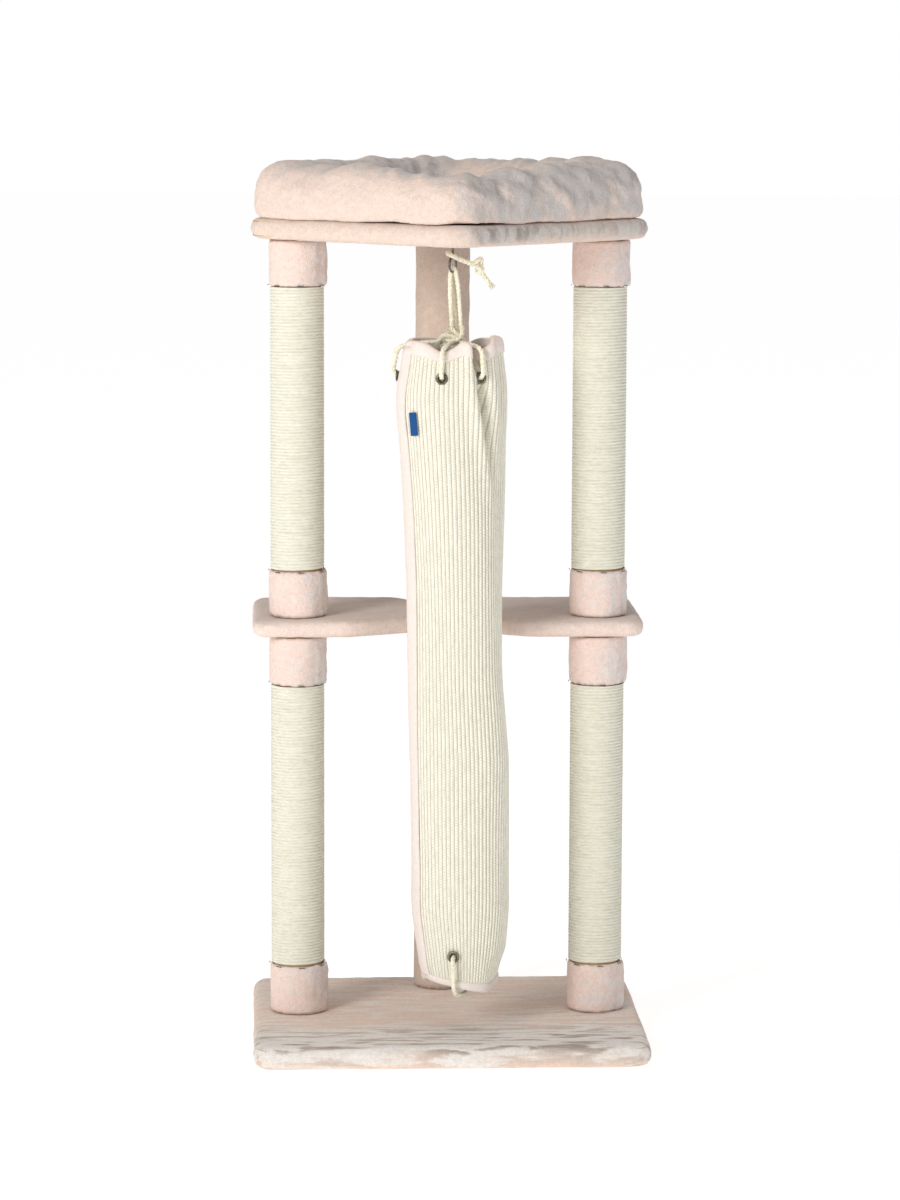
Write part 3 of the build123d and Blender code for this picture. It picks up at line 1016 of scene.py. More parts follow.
def evenly_spaced(loop: Sequence[Vector], count: int) -> list[Vector]:
    """Points at even steps round a closed outline, anticlockwise from its rightmost point.

    Args:
        loop: The outline's points.
        count: How many points are wanted.

    Returns:
        The new points.
    """
    area = sum(a.x * b.y - b.x * a.y for a, b in zip(loop, list(loop[1:]) + [loop[0]]))
    points = list(loop) if area > 0 else list(reversed(loop))
    middle = sum(points, Vector()) / len(points)
    angles = [abs(math.atan2(point.y - middle.y, point.x - middle.x)) for point in points]
    start = angles.index(min(angles))
    points = points[start:] + points[:start]
    points.append(points[0])
    total = sum((after - before).length for before, after in zip(points, points[1:]))
    spaced = []
    walked = 0.0
    index = 0
    for step in range(count):
        target = total * step / count
        while walked + (points[index + 1] - points[index]).length < target and index < len(points) - 2:
            walked += (points[index + 1] - points[index]).length
            index += 1
        run = (points[index + 1] - points[index]).length
        share = (target - walked) / run if run > 1e-9 else 0.0
        spaced.append(points[index].lerp(points[index + 1], min(1.0, share)))
    return spaced


def inset_outline(loop: Sequence[Vector], inward: float, height: float) -> list[Vector]:
    """An outline moved inwards, at a new height.

    Args:
        loop: An anticlockwise outline.
        inward: How far it moves in, in metres.
        height: Its new height.

    Returns:
        The new outline.
    """
    moved = []
    count = len(loop)
    for index, point in enumerate(loop):
        run = loop[(index + 1) % count] - loop[index - 1]
        side = Vector((-run.y, run.x, 0)).normalized()
        moved.append(Vector((point.x + side.x * inward, point.y + side.y * inward, height)))
    return moved


def bridged(loops: Sequence[Sequence[Vector]], ring: bool = False) -> Mesh:
    """A closed shell through a row of outlines.

    Args:
        loops: Outlines of the same number of points.
        ring: Whether the last outline joins the first; if not, both ends are filled.

    Returns:
        The shell.
    """
    bm = bmesh.new()
    rows = []
    for loop in loops:
        verts = [bm.verts.new(point) for point in loop]
        edges = [bm.edges.new((verts[i - 1], verts[i])) for i in range(len(verts))]
        rows.append(edges)
    pairs = list(zip(rows, rows[1:]))
    if ring:
        pairs.append((rows[-1], rows[0]))
    for first, second in pairs:
        bmesh.ops.bridge_loops(bm, edges=first + second)
    if not ring:
        for row in (rows[0], rows[-1]):
            bmesh.ops.triangle_fill(bm, edges=row, use_beauty=True)
    bmesh.ops.recalc_face_normals(bm, faces=bm.faces)
    return bm


def wrapped_sheet(
    columns: int,
    rows: Sequence[float],
    place: Callable[[float, float], Vector],
    flat_size: tuple[float, float] | None = None,
) -> Mesh:
    """A grid laid over a curved surface.

    Args:
        columns: How many faces it has across.
        rows: The share of the height of each row of points, from 0 to 1.
        place: Gives a point from its shares across and along.
        flat_size: The size of its flat map, if it has one.

    Returns:
        The curved grid.
    """
    bm = bmesh.new()
    bmesh.ops.create_grid(bm, x_segments=columns, y_segments=len(rows) - 1, size=0.5)
    shares = {}
    for vert in bm.verts:
        row = round((vert.co.y + 0.5) * (len(rows) - 1))
        shares[vert] = (round((vert.co.x + 0.5) * columns) / columns, rows[row])
    if flat_size:
        layer = bm.loops.layers.uv.new(WEAVE_MAP)
        for face in bm.faces:
            for loop in face.loops:
                across, along = shares[loop.vert]
                loop[layer].uv = (across * flat_size[0], along * flat_size[1])
    for vert, (across, along) in shares.items():
        vert.co = place(across, along)
    bm.normal_update()
    return bm


def thicken(bm: Mesh, axis: Vector, thickness: float) -> None:
    """Turns a wrapped sheet's faces away from an upright axis, and gives it an inner wall.

    Args:
        bm: The sheet.
        axis: A point on the axis.
        thickness: How thick it becomes, inwards.
    """
    outward = 0.0
    for face in list(bm.faces)[::7]:
        outward += face.normal.dot((face.calc_center_median() - axis) * Vector((1, 1, 0)))
    if outward < 0:
        bmesh.ops.reverse_faces(bm, faces=bm.faces)
        bm.normal_update()
    bmesh.ops.solidify(bm, geom=bm.faces[:], thickness=thickness)
    bm.normal_update()


# ---- boards and bed -------------------------------------------------------------------------------
@dataclass
class PlushBoard:
    """A board's tight plush cover, rounded at its rims and slightly lumpy."""

    node: str
    look: str
    rounding: float = 0.011
    rim_steps: int = 5
    outline_points: int = 420
    net: float = 0.0042
    lumps: float = 0.0011
    puckers: float = 0.0006
    left_tuck: float = 0.0
    hem_floor: float = 0.0
    skin_cut: float = 0.0
    skin_inset: float = 0.0
    seed: float = 1.0

    def build(self) -> Piece:
        """Builds and dresses the cover.

        Returns:
            The cover.
        """
        low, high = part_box(self.node)
        height = high.z - self.skin_cut if self.skin_cut else (low.z + high.z) / 2
        outline = evenly_spaced(section_loops(self.node, height)[0], self.outline_points)
        outline = inset_outline(outline, -self.skin_inset, height)
        lower_rim = []
        upper_rim = []
        for index in range(self.rim_steps + 1):
            turn = math.pi / 2 * index / self.rim_steps
            near = self.rounding * (1 - math.cos(turn))
            far = self.rounding * (1 - math.sin(turn))
            lower_rim.append((far, low.z + near))
            upper_rim.append((near, high.z - far))
        loops = [inset_outline(outline, inward, height) for inward, height in lower_rim + upper_rim]
        if self.hem_floor:
            hem = evenly_spaced(section_loops(self.node, low.z + 0.002)[1], len(outline))
            loops.insert(0, inset_outline(hem, 0, low.z))
            loops.insert(0, inset_outline(hem, 0, low.z + self.hem_floor))
        cover = voxel_skin(to_object(bridged(loops), f"{self.node}_pile"), self.net)
        sculpt(cover, self.soften, smooth=3)
        return dress(cover, self.look, ROOT_BODY, "plush", self.node)

    def soften(self, place: Vector, outward: Vector) -> Vector:
        """How far one point of the cover stands proud.

        Args:
            place: The point.
            outward: Its outward direction.

        Returns:
            Its step.
        """
        wide = mottled(place, 0.055, self.seed)
        small = mottled(place, 0.014, self.seed + 3)
        rim = 1 - abs(outward.z)
        around = math.atan2(place.y, place.x) * 0.25
        pucker = noise.noise(Vector((around / 0.011, self.seed, place.z * 30)))
        step = self.lumps * (0.7 * wide + 0.45 * small + 0.4 * rim) + self.puckers * pucker * rim
        if outward.z < -0.5:
            step = min(0.0, step)
        moved = outward * max(step, -0.0005)
        moved.x += self.left_tuck * smooth_step(place.x, -0.2, -0.25)
        return moved


BOARDS = (
    PlushBoard("base_plush_cover", "base_plush", hem_floor=0.005, seed=1.0),
    PlushBoard(
        "shelf_plush_cover",
        "shelf_plush",
        rounding=0.009,
        skin_cut=0.002,
        skin_inset=0.0021,
        seed=2.0,
    ),
    PlushBoard(
        "top_plush_cover",
        "top_plush",
        rounding=0.0105,
        lumps=0.0014,
        puckers=0.0018,
        left_tuck=0.0025,
        seed=3.0,
    ),
)


@dataclass
class Bed:
    """The stuffed bolster that runs round the bed, and the pad inside it."""

    net: float = 0.0062
    pad_net: float = 0.005
    moments: int = 20
    pressure: float = 4.0
    bolster_cap: float = 0.006
    pad_cap: float = 0.006
    # across the bolster from its outer foot to its inner foot, and up from its foot to its crown
    profile: tuple[tuple[float, float], ...] = (
        (0.03, 0.0),
        (0.0, 0.09),
        (0.015, 0.34),
        (0.03, 0.55),
        (0.09, 0.75),
        (0.22, 0.91),
        (0.40, 0.98),
        (0.60, 0.97),
        (0.78, 0.87),
        (0.90, 0.68),
        (0.95, 0.42),
        (0.95, 0.18),
        (0.86, 0.02),
    )

    def puff(self, obj: Piece, cap: float) -> Piece:
        """Fills a closed cover with air pressure, so that its cloth swells and wrinkles.

        Args:
            obj: The closed cover.
            cap: The most that a point may move, in metres.

        Returns:
            The same object.
        """
        start = [vert.co.copy() for vert in obj.data.vertices]
        floor = min(place.z for place in start)
        foot = obj.vertex_groups.new(name="foot")
        foot.add([index for index, place in enumerate(start) if place.z < floor + 0.008], 1.0, "REPLACE")
        cloth = obj.modifiers.new("stuffing", "CLOTH")
        cloth.settings.vertex_group_mass = "foot"
        cloth.settings.use_pressure = True
        cloth.settings.uniform_pressure_force = self.pressure
        cloth.settings.mass = 0.3
        cloth.settings.tension_stiffness = 12
        cloth.settings.compression_stiffness = 12
        cloth.settings.shear_stiffness = 4
        cloth.settings.bending_stiffness = 0.4
        cloth.settings.effector_weights.gravity = 0
        cloth.collision_settings.use_collision = False
        scene = bpy.context.scene
        cloth.point_cache.frame_start = 1
        cloth.point_cache.frame_end = self.moments
        for moment in range(1, self.moments + 1):
            scene.frame_set(moment)
        applied(obj)
        scene.frame_set(1)
        for vert, before in zip(obj.data.vertices, start):
            step = vert.co - before
            if step.length > cap:
                vert.co = before + step * (cap / step.length)
        return obj

    def build_bolster(self) -> Piece:
        """Builds the bolster from its two outlines.

        Returns:
            The bolster.
        """
        node = "bed_bolster"
        low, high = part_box(node)
        outer, inner = [evenly_spaced(loop, 360) for loop in section_loops(node, low.z + 0.03)[:2]]
        height = high.z - low.z - 0.004
        loops = []
        for across, up in self.profile:
            rise = low.z + 0.001 + up * height
            loops.append([Vector((*a.lerp(b, across).xy, rise)) for a, b in zip(outer, inner)])
        bolster = voxel_skin(to_object(bridged(loops, ring=True), "bed_bolster_stuffed"), self.net)
        self.puff(bolster, self.bolster_cap)
        sculpt(bolster, lambda place, outward: self.crease(place, outward, low.z, high.z), smooth=1)
        finer = bolster.modifiers.new("rounding", "SUBSURF")
        finer.levels = finer.render_levels = 1
        applied(bolster)
        sculpt(bolster, lambda place, outward: outward * 0.0007 * mottled(place, 0.009, 7.0))
        dress(bolster, "bolster_plush", ROOT_BODY, "stuffed_plush", node)
        return bolster

    def crease(self, place: Vector, outward: Vector, floor: float, crown: float) -> Vector:
        """The bolster's gathers, dents and uneven height at one point.

        Args:
            place: The point.
            outward: Its outward direction.
            floor: The height of the board that it stands on.
            crown: The height of its highest place.

        Returns:
            The point's step.
        """
        up = (place.z - floor) / (crown - floor)
        around = math.degrees(math.atan2(place.y, place.x))
        reach = abs(place.x) + abs(place.y)
        along = math.radians(around) * 0.19
        gathers = noise.noise(Vector((along / 0.016, reach * 4, 0.5)))
        long_folds = noise.noise(Vector((along / 0.038, reach * 5, 3.5)))
        inner_top = smooth_step(up, 0.45, 0.95) * smooth_step(reach, 0.262, 0.2)
        right_front = smooth_step(place.x, -0.01, 0.08) * smooth_step(place.y, 0.05, -0.05)
        step = outward * (0.006 * gathers * inner_top + 0.003 * long_folds * smooth_step(up, 0.5, 0.95))
        wall = (place.x + place.y) / math.sqrt(2)
        streak = noise.noise(Vector(((wall * 0.7 + place.z) / 0.017, (wall - place.z) / 0.07, 2.5)))
        step += outward * 0.002 * right_front * streak * smooth_step(up, 0.05, 0.5)
        step -= outward * 0.005 * bump(wall, -0.105, 0.014) * right_front * smooth_step(up, 0.3, 0.8)
        step += outward * 0.004 * mottled(place, 0.06, 2.0)
        dents = (0.0016 + 0.0035 * right_front) * mottled(place, 0.022, 9.0)
        step += outward * dents * smooth_step(up, 0.0, 0.4)
        front_corner = bump(turn_between(around, -90), 0, 30)
        step.z -= 0.014 * front_corner * smooth_step(up, 0.3, 1.0)
        left_dip = bump(turn_between(around, -158), 0, 16)
        step.z -= 0.004 * left_dip * smooth_step(up, 0.4, 1.0)
        sag = 0.0045 * smooth_step(reach, 0.25, 0.262)
        step.z -= sag * smooth_step(up, 0.3, 0.0)
        step.z += max(0.0, floor + 0.0005 - sag - place.z - step.z)
        return step

    def build_pad(self) -> Piece:
        """Builds the flat pad inside the bolster.

        Returns:
            The pad.
        """
        node = "bed_pad"
        low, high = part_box(node)
        outline = evenly_spaced(section_loops(node, low.z + 0.01)[0], 200)
        profile = [(0.006, 0.0), (0.001, 0.006), (0.0, 0.012), (0.004, 0.018), (0.014, 0.0225)]
        loops = [inset_outline(outline, inward, low.z + 0.0005 + up) for inward, up in profile]
        pad = voxel_skin(to_object(bridged(loops), "bed_pad_stuffed"), self.pad_net)
        self.puff(pad, self.pad_cap)
        middle = (low + high) / 2

        def settle(place: Vector, outward: Vector) -> Vector:
            """Wrinkles the pad, and keeps it on its board.

            Args:
                place: The point.
                outward: Its outward direction.

            Returns:
                Its step.
            """
            step = outward * (0.0016 * mottled(place, 0.03, 4.0) + 0.0007 * mottled(place, 0.011, 8.0))
            reach = (abs(place.x - middle.x) + abs(place.y - middle.y)) / (high.x - low.x) * 2
            step.z -= 0.004 * smooth_step(reach, 0.0, 1.0) * smooth_step(place.z, middle.z, high.z)
            step.z += max(0.0, low.z + 0.0005 - place.z - step.z)
            return step

        sculpt(pad, settle, smooth=2)
        dress(pad, "bolster_plush", ROOT_BODY, "stuffed_plush", node)
        return pad


# ---- posts ----------------------------------------------------------------------------------------
@dataclass
class SisalWinding:
    """One rope wound tightly round a post, as a true helix."""

    node: str
    seed: float
    pitch: float = 0.0041
    groove: float = 0.0016
    steps_per_turn: int = 44
    profile_points: int = 6

    def build(self) -> Piece:
        """Builds and dresses the winding.

        Returns:
            The winding.
        """
        low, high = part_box(self.node)
        centre = (low + high) / 2
        radius = (high.x - low.x) / 2
        turns = int((high.z - low.z) / self.pitch) + 1
        pitch = (high.z - low.z) / turns
        rows = turns * self.profile_points

        def place(across: float, along: float) -> Vector:
            """A point of the wound rope's outer face.

            Args:
                across: The share across the sheet, 0 to 1.
                along: The share up the sheet, 0 to 1.

            Returns:
                The point.
            """
            turn = 2 * math.pi * across
            lift = along * turns + across - 0.5
            out = radius - self.groove * (1 - abs(math.sin(math.pi * (along * turns))) ** 0.6)
            rise = min(high.z, max(low.z, low.z + lift * pitch))
            return Vector((centre.x + out * math.cos(turn), centre.y + out * math.sin(turn), rise))

        bm = wrapped_sheet(self.steps_per_turn, [index / rows for index in range(rows + 1)], place)
        bmesh.ops.remove_doubles(bm, verts=bm.verts, dist=SAME_SEAM_PLACE)
        bm.normal_update()
        side = sum(face.normal.dot(face.calc_center_median() - centre) for face in list(bm.faces)[:400])
        if side < 0:
            bmesh.ops.reverse_faces(bm, faces=bm.faces)
        winding = to_object(bm, f"{self.node}_rope")

        def uneven(place: Vector, outward: Vector) -> Vector:
            """Makes some turns stand a little proud.

            Args:
                place: The point.
                outward: Its outward direction.

            Returns:
                Its step.
            """
            tall = noise.noise(Vector((place.x * 9, place.y * 9, place.z / 0.006 + self.seed)))
            step = outward * 0.0002 * tall
            step.z += 0.0001 * mottled(place, 0.03, self.seed)
            return step

        sculpt(winding, uneven)
        return dress(winding, "sisal", ROOT_BODY, "sisal", self.node)


@dataclass
class PlushWrap:
    """Plush glued round a tube, its ends lapped in an upright seam."""

    node: str
    look: str
    seed: float
    seam_angle: float = 12.0
    overlap: float = 14.0
    columns: int = 84
    rows: int = 16
    swell: float = 0.0008
    ragged: float = 0.0011
    thickness: float = 0.0042

    def build(self) -> Piece:
        """Builds and dresses the wrap.

        Returns:
            The wrap.
        """
        low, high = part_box(self.node)
        centre = (low + high) / 2
        radius = (high.x - low.x) / 2
        height = high.z - low.z
        sweep = 360 + self.overlap

        def place(across: float, along: float) -> Vector:
            """A point of the wrap.

            Args:
                across: The share across the sheet, 0 to 1.
                along: The share up the sheet, 0 to 1.

            Returns:
                The point.
            """
            angle = self.seam_angle + across * sweep
            turn = math.radians(angle)
            lap = smooth_step(across * sweep, 360 - self.overlap, 360 + self.overlap * 0.5)
            edge = min(along, 1 - along)
            round_over = 0.0016 * (1 - smooth_step(edge * height, 0.0, 0.004))
            spot = Vector((math.cos(turn), math.sin(turn), along * height * 9))
            lumps = 0.0012 * noise.noise(spot * 2.2 + Vector((self.seed, 0, 0)))
            front_right = bump(turn_between(angle, -20), 0, 40)
            lumps += 0.0016 * noise.noise(spot * 4 + Vector((0, 0, self.seed))) * front_right
            fluff = 0.0004 * noise.noise(spot * 9 + Vector((0, self.seed, 0)))
            free_end = self.ragged * bump(across * sweep, sweep, 7)
            free_end *= noise.noise(Vector((along * 9, self.seed, 2)))
            swell = self.swell * math.sin(math.pi * along)
            out = radius - 0.0006 + swell + lumps + fluff - round_over + lap * 0.0024 + free_end
            rim_spot = Vector((math.cos(turn) * 5, math.sin(turn) * 5, self.seed + along))
            rise = self.ragged * noise.noise(rim_spot) * (1 - smooth_step(edge, 0.0, 0.25))
            inside = 0.0012 * (1 if along < 0.5 else -1) * (1 - smooth_step(edge, 0.0, 0.2))
            return Vector(
                (
                    centre.x + out * math.cos(turn),
                    centre.y + out * math.sin(turn),
                    low.z + along * height + rise + inside,
                )
            )

        rows = [index / self.rows for index in range(self.rows + 1)]
        bm = wrapped_sheet(self.columns, rows, place)
        thicken(bm, centre, self.thickness)
        return dress(to_object(bm, f"{self.node}_pile"), self.look, ROOT_BODY, "plush", self.node)


@dataclass
class Posts:
    """The four sisal post sections and the plush back post."""

    sides: tuple[str, ...] = ("left", "right")
    levels: tuple[str, ...] = ("lower", "upper")

    def build(self) -> None:
        """Builds every winding, collar and cover."""
        seed = 1.0
        for side in self.sides:
            for level in self.levels:
                name = f"{side}_{level}_post"
                SisalWinding(f"{name}_sisal_winding", seed).build()
                for end in ("bottom", "top"):
                    seed += 2.3
                    seam = -14.0 + 9 * math.sin(seed)
                    PlushWrap(f"{name}_{end}_collar", "collar_plush", seed, seam).build()
        PlushWrap("back_post_plush_cover", "post_plush", 40.0, 150.0, 8.0, rows=150, swell=0.0).build()


# ---- ropes and knots ------------------------------------------------------------------------------
LINE_STEPS = 16
# the turn between neighbouring yarns that spreads them evenly over a round end
EVEN_TURN = 2.39996


class Far(Enum):
    """What a rope's far end does."""

    KNOT = "knot"
    OBJECT = "object"


def curve_mesh(paths: Sequence[Sequence[Vector]], kind: str, radius: float, sides: int) -> bpy.types.Mesh:
    """The mesh of a curve with one open spline along each path.

    Args:
        paths: The paths.
        kind: The splines' kind, NURBS for a smooth line or POLY for a straight run between points.
        radius: The radius of a tube round each spline, or 0 for bare lines.
        sides: How fine the tube's round section is.

    Returns:
        The mesh.
    """
    curve = bpy.data.curves.new("route", "CURVE")
    curve.dimensions = "3D"
    curve.resolution_u = LINE_STEPS
    curve.bevel_depth = radius
    curve.bevel_resolution = sides
    curve.use_fill_caps = radius > 0
    for path in paths:
        spline = curve.splines.new(kind)
        spline.points.add(len(path) - 1)
        for point, place in zip(spline.points, path):
            point.co = (*place, 1.0)
        if kind == "NURBS":
            spline.order_u = 3
            spline.use_endpoint_u = True
    obj = linked("route", curve)
    bpy.context.view_layer.update()
    mesh = bpy.data.meshes.new_from_object(obj.evaluated_get(bpy.context.evaluated_depsgraph_get()))
    bpy.data.objects.remove(obj)
    bpy.data.curves.remove(curve)
    return mesh


def spline_line(points: Sequence[Vector]) -> list[Vector]:
    """The smooth line of a route, read from its spline.

    Args:
        points: The route's control points.

    Returns:
        Close points along the spline.
    """
    mesh = curve_mesh([points], "NURBS", 0.0, 0)
    line = [vert.co.copy() for vert in mesh.vertices]
    bpy.data.meshes.remove(mesh)
    return line


def tubes(paths: Sequence[Sequence[Vector]], radius: float, sides: int = 2) -> Mesh:
    """Round tubes along several paths, in one mesh.

    Args:
        paths: The paths.
        radius: The tubes' radius, in metres.
        sides: How fine their round section is.

    Returns:
        The tubes.
    """
    mesh = curve_mesh(paths, "POLY", radius, sides)
    bm = bmesh.new()
    bm.from_mesh(mesh)
    bpy.data.meshes.remove(mesh)
    bmesh.ops.remove_doubles(bm, verts=bm.verts, dist=SAME_PLACE)
    return bm


@dataclass
class TwistedRope:
    """Three strands laid round each other, with a few loose fibres."""

    radius: float = 0.003
    strands: int = 3
    lay_length: float = 0.017

    def strand_paths(self, line: Sequence[Vector]) -> list[list[Vector]]:
        """The middle of each strand.

        Args:
            line: The rope's own line.

        Returns:
            One path for each strand.
        """
        offset = self.radius * 0.46
        side = Vector((0.3, 0.9, 0.2))
        walked = 0.0
        paths = [[] for _ in range(self.strands)]
        for index, point in enumerate(line):
            ahead = line[min(index + 1, len(line) - 1)]
            behind = line[max(index - 1, 0)]
            direction = (ahead - behind).normalized()
            side = (side - direction * side.dot(direction)).normalized()
            other = direction.cross(side)
            if index:
                walked += (point - line[index - 1]).length
            for strand in range(self.strands):
                turn = 2 * math.pi * (walked / self.lay_length + strand / self.strands)
                paths[strand].append(point + side * offset * math.cos(turn) + other * offset * math.sin(turn))
        return paths

    def stray_fibres(self, line: Sequence[Vector], count: int, seed: float) -> list[list[Vector]]:
        """Short fibres that have come loose.

        Args:
            line: The rope's own line.
            count: How many there are.
            seed: Chooses where they lie.

        Returns:
            One path for each fibre.
        """
        fibres = []
        for index in range(count):
            at = int((0.5 + 0.5 * noise.noise(Vector((index * 1.31, seed, 0)))) * (len(line) - 4)) + 1
            start = line[at]
            along = (line[at + 1] - start).normalized()
            turn = index * 2.4 + seed
            out = Vector((math.cos(turn), math.sin(turn), math.sin(index * 1.1) * 0.4))
            out = (out - along * out.dot(along)).normalized()
            reach = 0.0016 + 0.0012 * abs(noise.noise(Vector((seed, index * 0.77, 4))))
            root = start + out * self.radius * 0.8
            middle = start + out * (self.radius + reach * 0.4) + along * 0.002
            tip = start + out * (self.radius + reach) + along * 0.005
            fibres.append([root, middle, tip])
        return fibres

    def frayed_end(
        self, end: Vector, direction: Vector, length: float, count: int = 26
    ) -> list[list[Vector]]:
        """The loose yarns at a cut end.

        Args:
            end: Where the rope stops.
            direction: Which way it points.
            length: How long the yarns are.
            count: How many there are.

        Returns:
            One path for each yarn.
        """
        direction = direction.normalized()
        side = direction.orthogonal().normalized()
        other = direction.cross(side)
        yarns = []
        for index in range(count):
            turn = index * EVEN_TURN
            spread = self.radius * math.sqrt((index + 0.5) / count)
            across = side * math.cos(turn) + other * math.sin(turn)
            own = length * (0.7 + 0.3 * math.sin(index * 1.7))
            base = end + across * spread * 0.8 - direction * 0.002
            middle = end + across * spread * 1.1 + direction * own * 0.5
            tip = end + across * spread * (1.3 + 0.5 * math.sin(index)) + direction * own
            yarns.append([base, middle, tip])
        return yarns

    def mesh(self, line: Sequence[Vector], seed: float, stray: int = 10) -> Mesh:
        """The whole rope along a line.

        Args:
            line: The rope's own line.
            seed: Chooses its loose fibres.
            stray: How many loose fibres it has.

        Returns:
            The rope.
        """
        bm = tubes(self.strand_paths(line), self.radius * 0.56)
        if stray:
            add_mesh(bm, tubes(self.stray_fibres(line, stray, seed), 0.00016, 0))
        return bm


def add_mesh(target: Mesh, extra: Mesh) -> None:
    """Adds one mesh to another.

    Args:
        target: The mesh that grows.
        extra: The mesh that is added; it is freed.
    """
    carrier = bpy.data.meshes.new("carrier")
    extra.to_mesh(carrier)
    extra.free()
    target.from_mesh(carrier)
    bpy.data.meshes.remove(carrier)


@dataclass
class Ropes:
    """Every rope of the hanging tunnel, and the two knots."""

    rope: TwistedRope = field(default_factory=TwistedRope)
    gather_tail: float = 0.007
    gather_swell: float = 1.2
    # a tight heap of turns where the four eyelet ropes meet the hanging ropes
    gather_turns: tuple[Triple, ...] = (
        (10, -105, 921),
        (11, -107, 913),
        (5, -113, 906),
        (-5, -113, 906),
        (-9, -105, 911),
        (-3, -97, 914),
        (7, -96, 911),
        (13, -103, 905),
        (8, -111, 901),
        (-3, -112, 901),
        (-9, -104, 903),
        (-4, -97, 905),
        (6, -98, 903),
        (9, -105, 908),
        (3, -109, 914),
        (-2, -106, 920),
    )
    gather_end: tuple[Triple, ...] = (
        (5, -112, 909),
        (-3, -115, 912),
        (-10, -114, 913),
        (-15, -111, 910),
        (-17.5, -109.5, 905),
    )
    stopper_turns: tuple[Triple, ...] = (
        (24.6, -114.5, 1001),
        (29, -117.5, 1005),
        (33.5, -117, 1008.5),
        (35.5, -113, 1006),
        (33, -110.5, 999),
        (29.5, -112.5, 993),
        (31, -117, 990),
        (35.5, -116.5, 993),
        (36, -112, 998),
        (32, -110.5, 1003),
        (29.5, -114, 1000),
        (32, -117.5, 996),
        (36.5, -115.5, 989),
        (41, -116, 982.5),
        (45.5, -117, 976.5),
    )

    def lay(self, name: str, body: str, far: Far) -> Piece:
        """Lays one rope along its route.

        Args:
            name: The route's name, which is its CAD node's.
            body: The body that it rides on.
            far: Not used.

        Returns:
            The rope.
        """
        points = millimetres(ROPE_ROUTES[name])
        line = spline_line(points)
        obj = to_object(self.rope.mesh(line, len(name)), f"{name}_strands")
        dress(obj, "rope_yarn", body, "rope", name)
        [tuple(point) for point in line]
        return obj

    def knot(
        self, name: str, node: str, body: str, turns: Sequence, ends: Sequence, swell: float
    ) -> Piece:
        """Builds a knot from its turns and its frayed tail.

        Args:
            name: The piece's name.
            node: The CAD node that it stands for.
            body: The body that it rides on.
            turns: The route of its turns, in millimetres.
            ends: The route of its tail, in millimetres, if that is a separate end.
            swell: How much fatter its heap of turns is than its route.

        Returns:
            The knot.
        """
        line = spline_line(millimetres(turns))
        middle = sum(line, Vector()) / len(line)
        heap = [middle + (point - middle) * swell if ends else point for point in line]
        bm = self.rope.mesh(heap, 3.0, 14)
        tail = line
        if ends:
            tail = spline_line(millimetres(ends))
            add_mesh(bm, self.rope.mesh(tail, 5.0, 6))
        yarns = self.rope.frayed_end(tail[-1], tail[-1] - tail[-4], self.gather_tail)
        add_mesh(bm, tubes(yarns, 0.00035, 0))
        return dress(to_object(bm, name), "rope_yarn", body, "rope", node)

    def build(self) -> None:
        """Builds the knots, then the ropes that run to them."""
        gathered = self.knot(
            "gathering_knot_turns",
            "tunnel_gathering_knot",
            KNOT_BODY,
            self.gather_turns,
            self.gather_end,
            self.gather_swell,
        )
        stopper = self.knot("tie_off_knot_turns", "tie_off_knot", ROOT_BODY, self.stopper_turns, (), 1.0)
        self.lay("tie_off_rope", ROOT_BODY, Far.KNOT)
        self.lay("hanging_rope_loop", ROPES_BODY, Far.KNOT)
        self.lay("hanging_rope_middle", ROPES_BODY, Far.KNOT)
        for side, length in (("front", 0.087), ("right", 0.087), ("back", 0.085), ("left", 0.101)):
            self.lay(f"tunnel_rope_{side}", TUNNEL_BODY, Far.OBJECT)
        self.lay("tunnel_bottom_rope", TUNNEL_BODY, Far.OBJECT)


# ---- hanging tunnel -------------------------------------------------------------------------------
EYELET_ANGLES = (-102.0, -59.0, 78.0, 175.0)
LOWER_EYELET_ANGLES = (-104.0, 78.0)


@dataclass(frozen=True)
class Crease:
    """An upright ridge or valley on the tunnel: its angle and width in degrees, its height in metres."""

    angle: float
    width: float
    out: float

    def at(self, angle: float, shift: float = 0.0) -> float:
        """How far it lifts the surface at an angle, when it is turned by a shift.

        Args:
            angle: Round the tunnel, in degrees.
            shift: How far the crease is turned, in degrees.

        Returns:
            The lift in metres, below 0 in a valley.
        """
        return self.out * bump(turn_between(angle, shift + self.angle), 0, self.width)


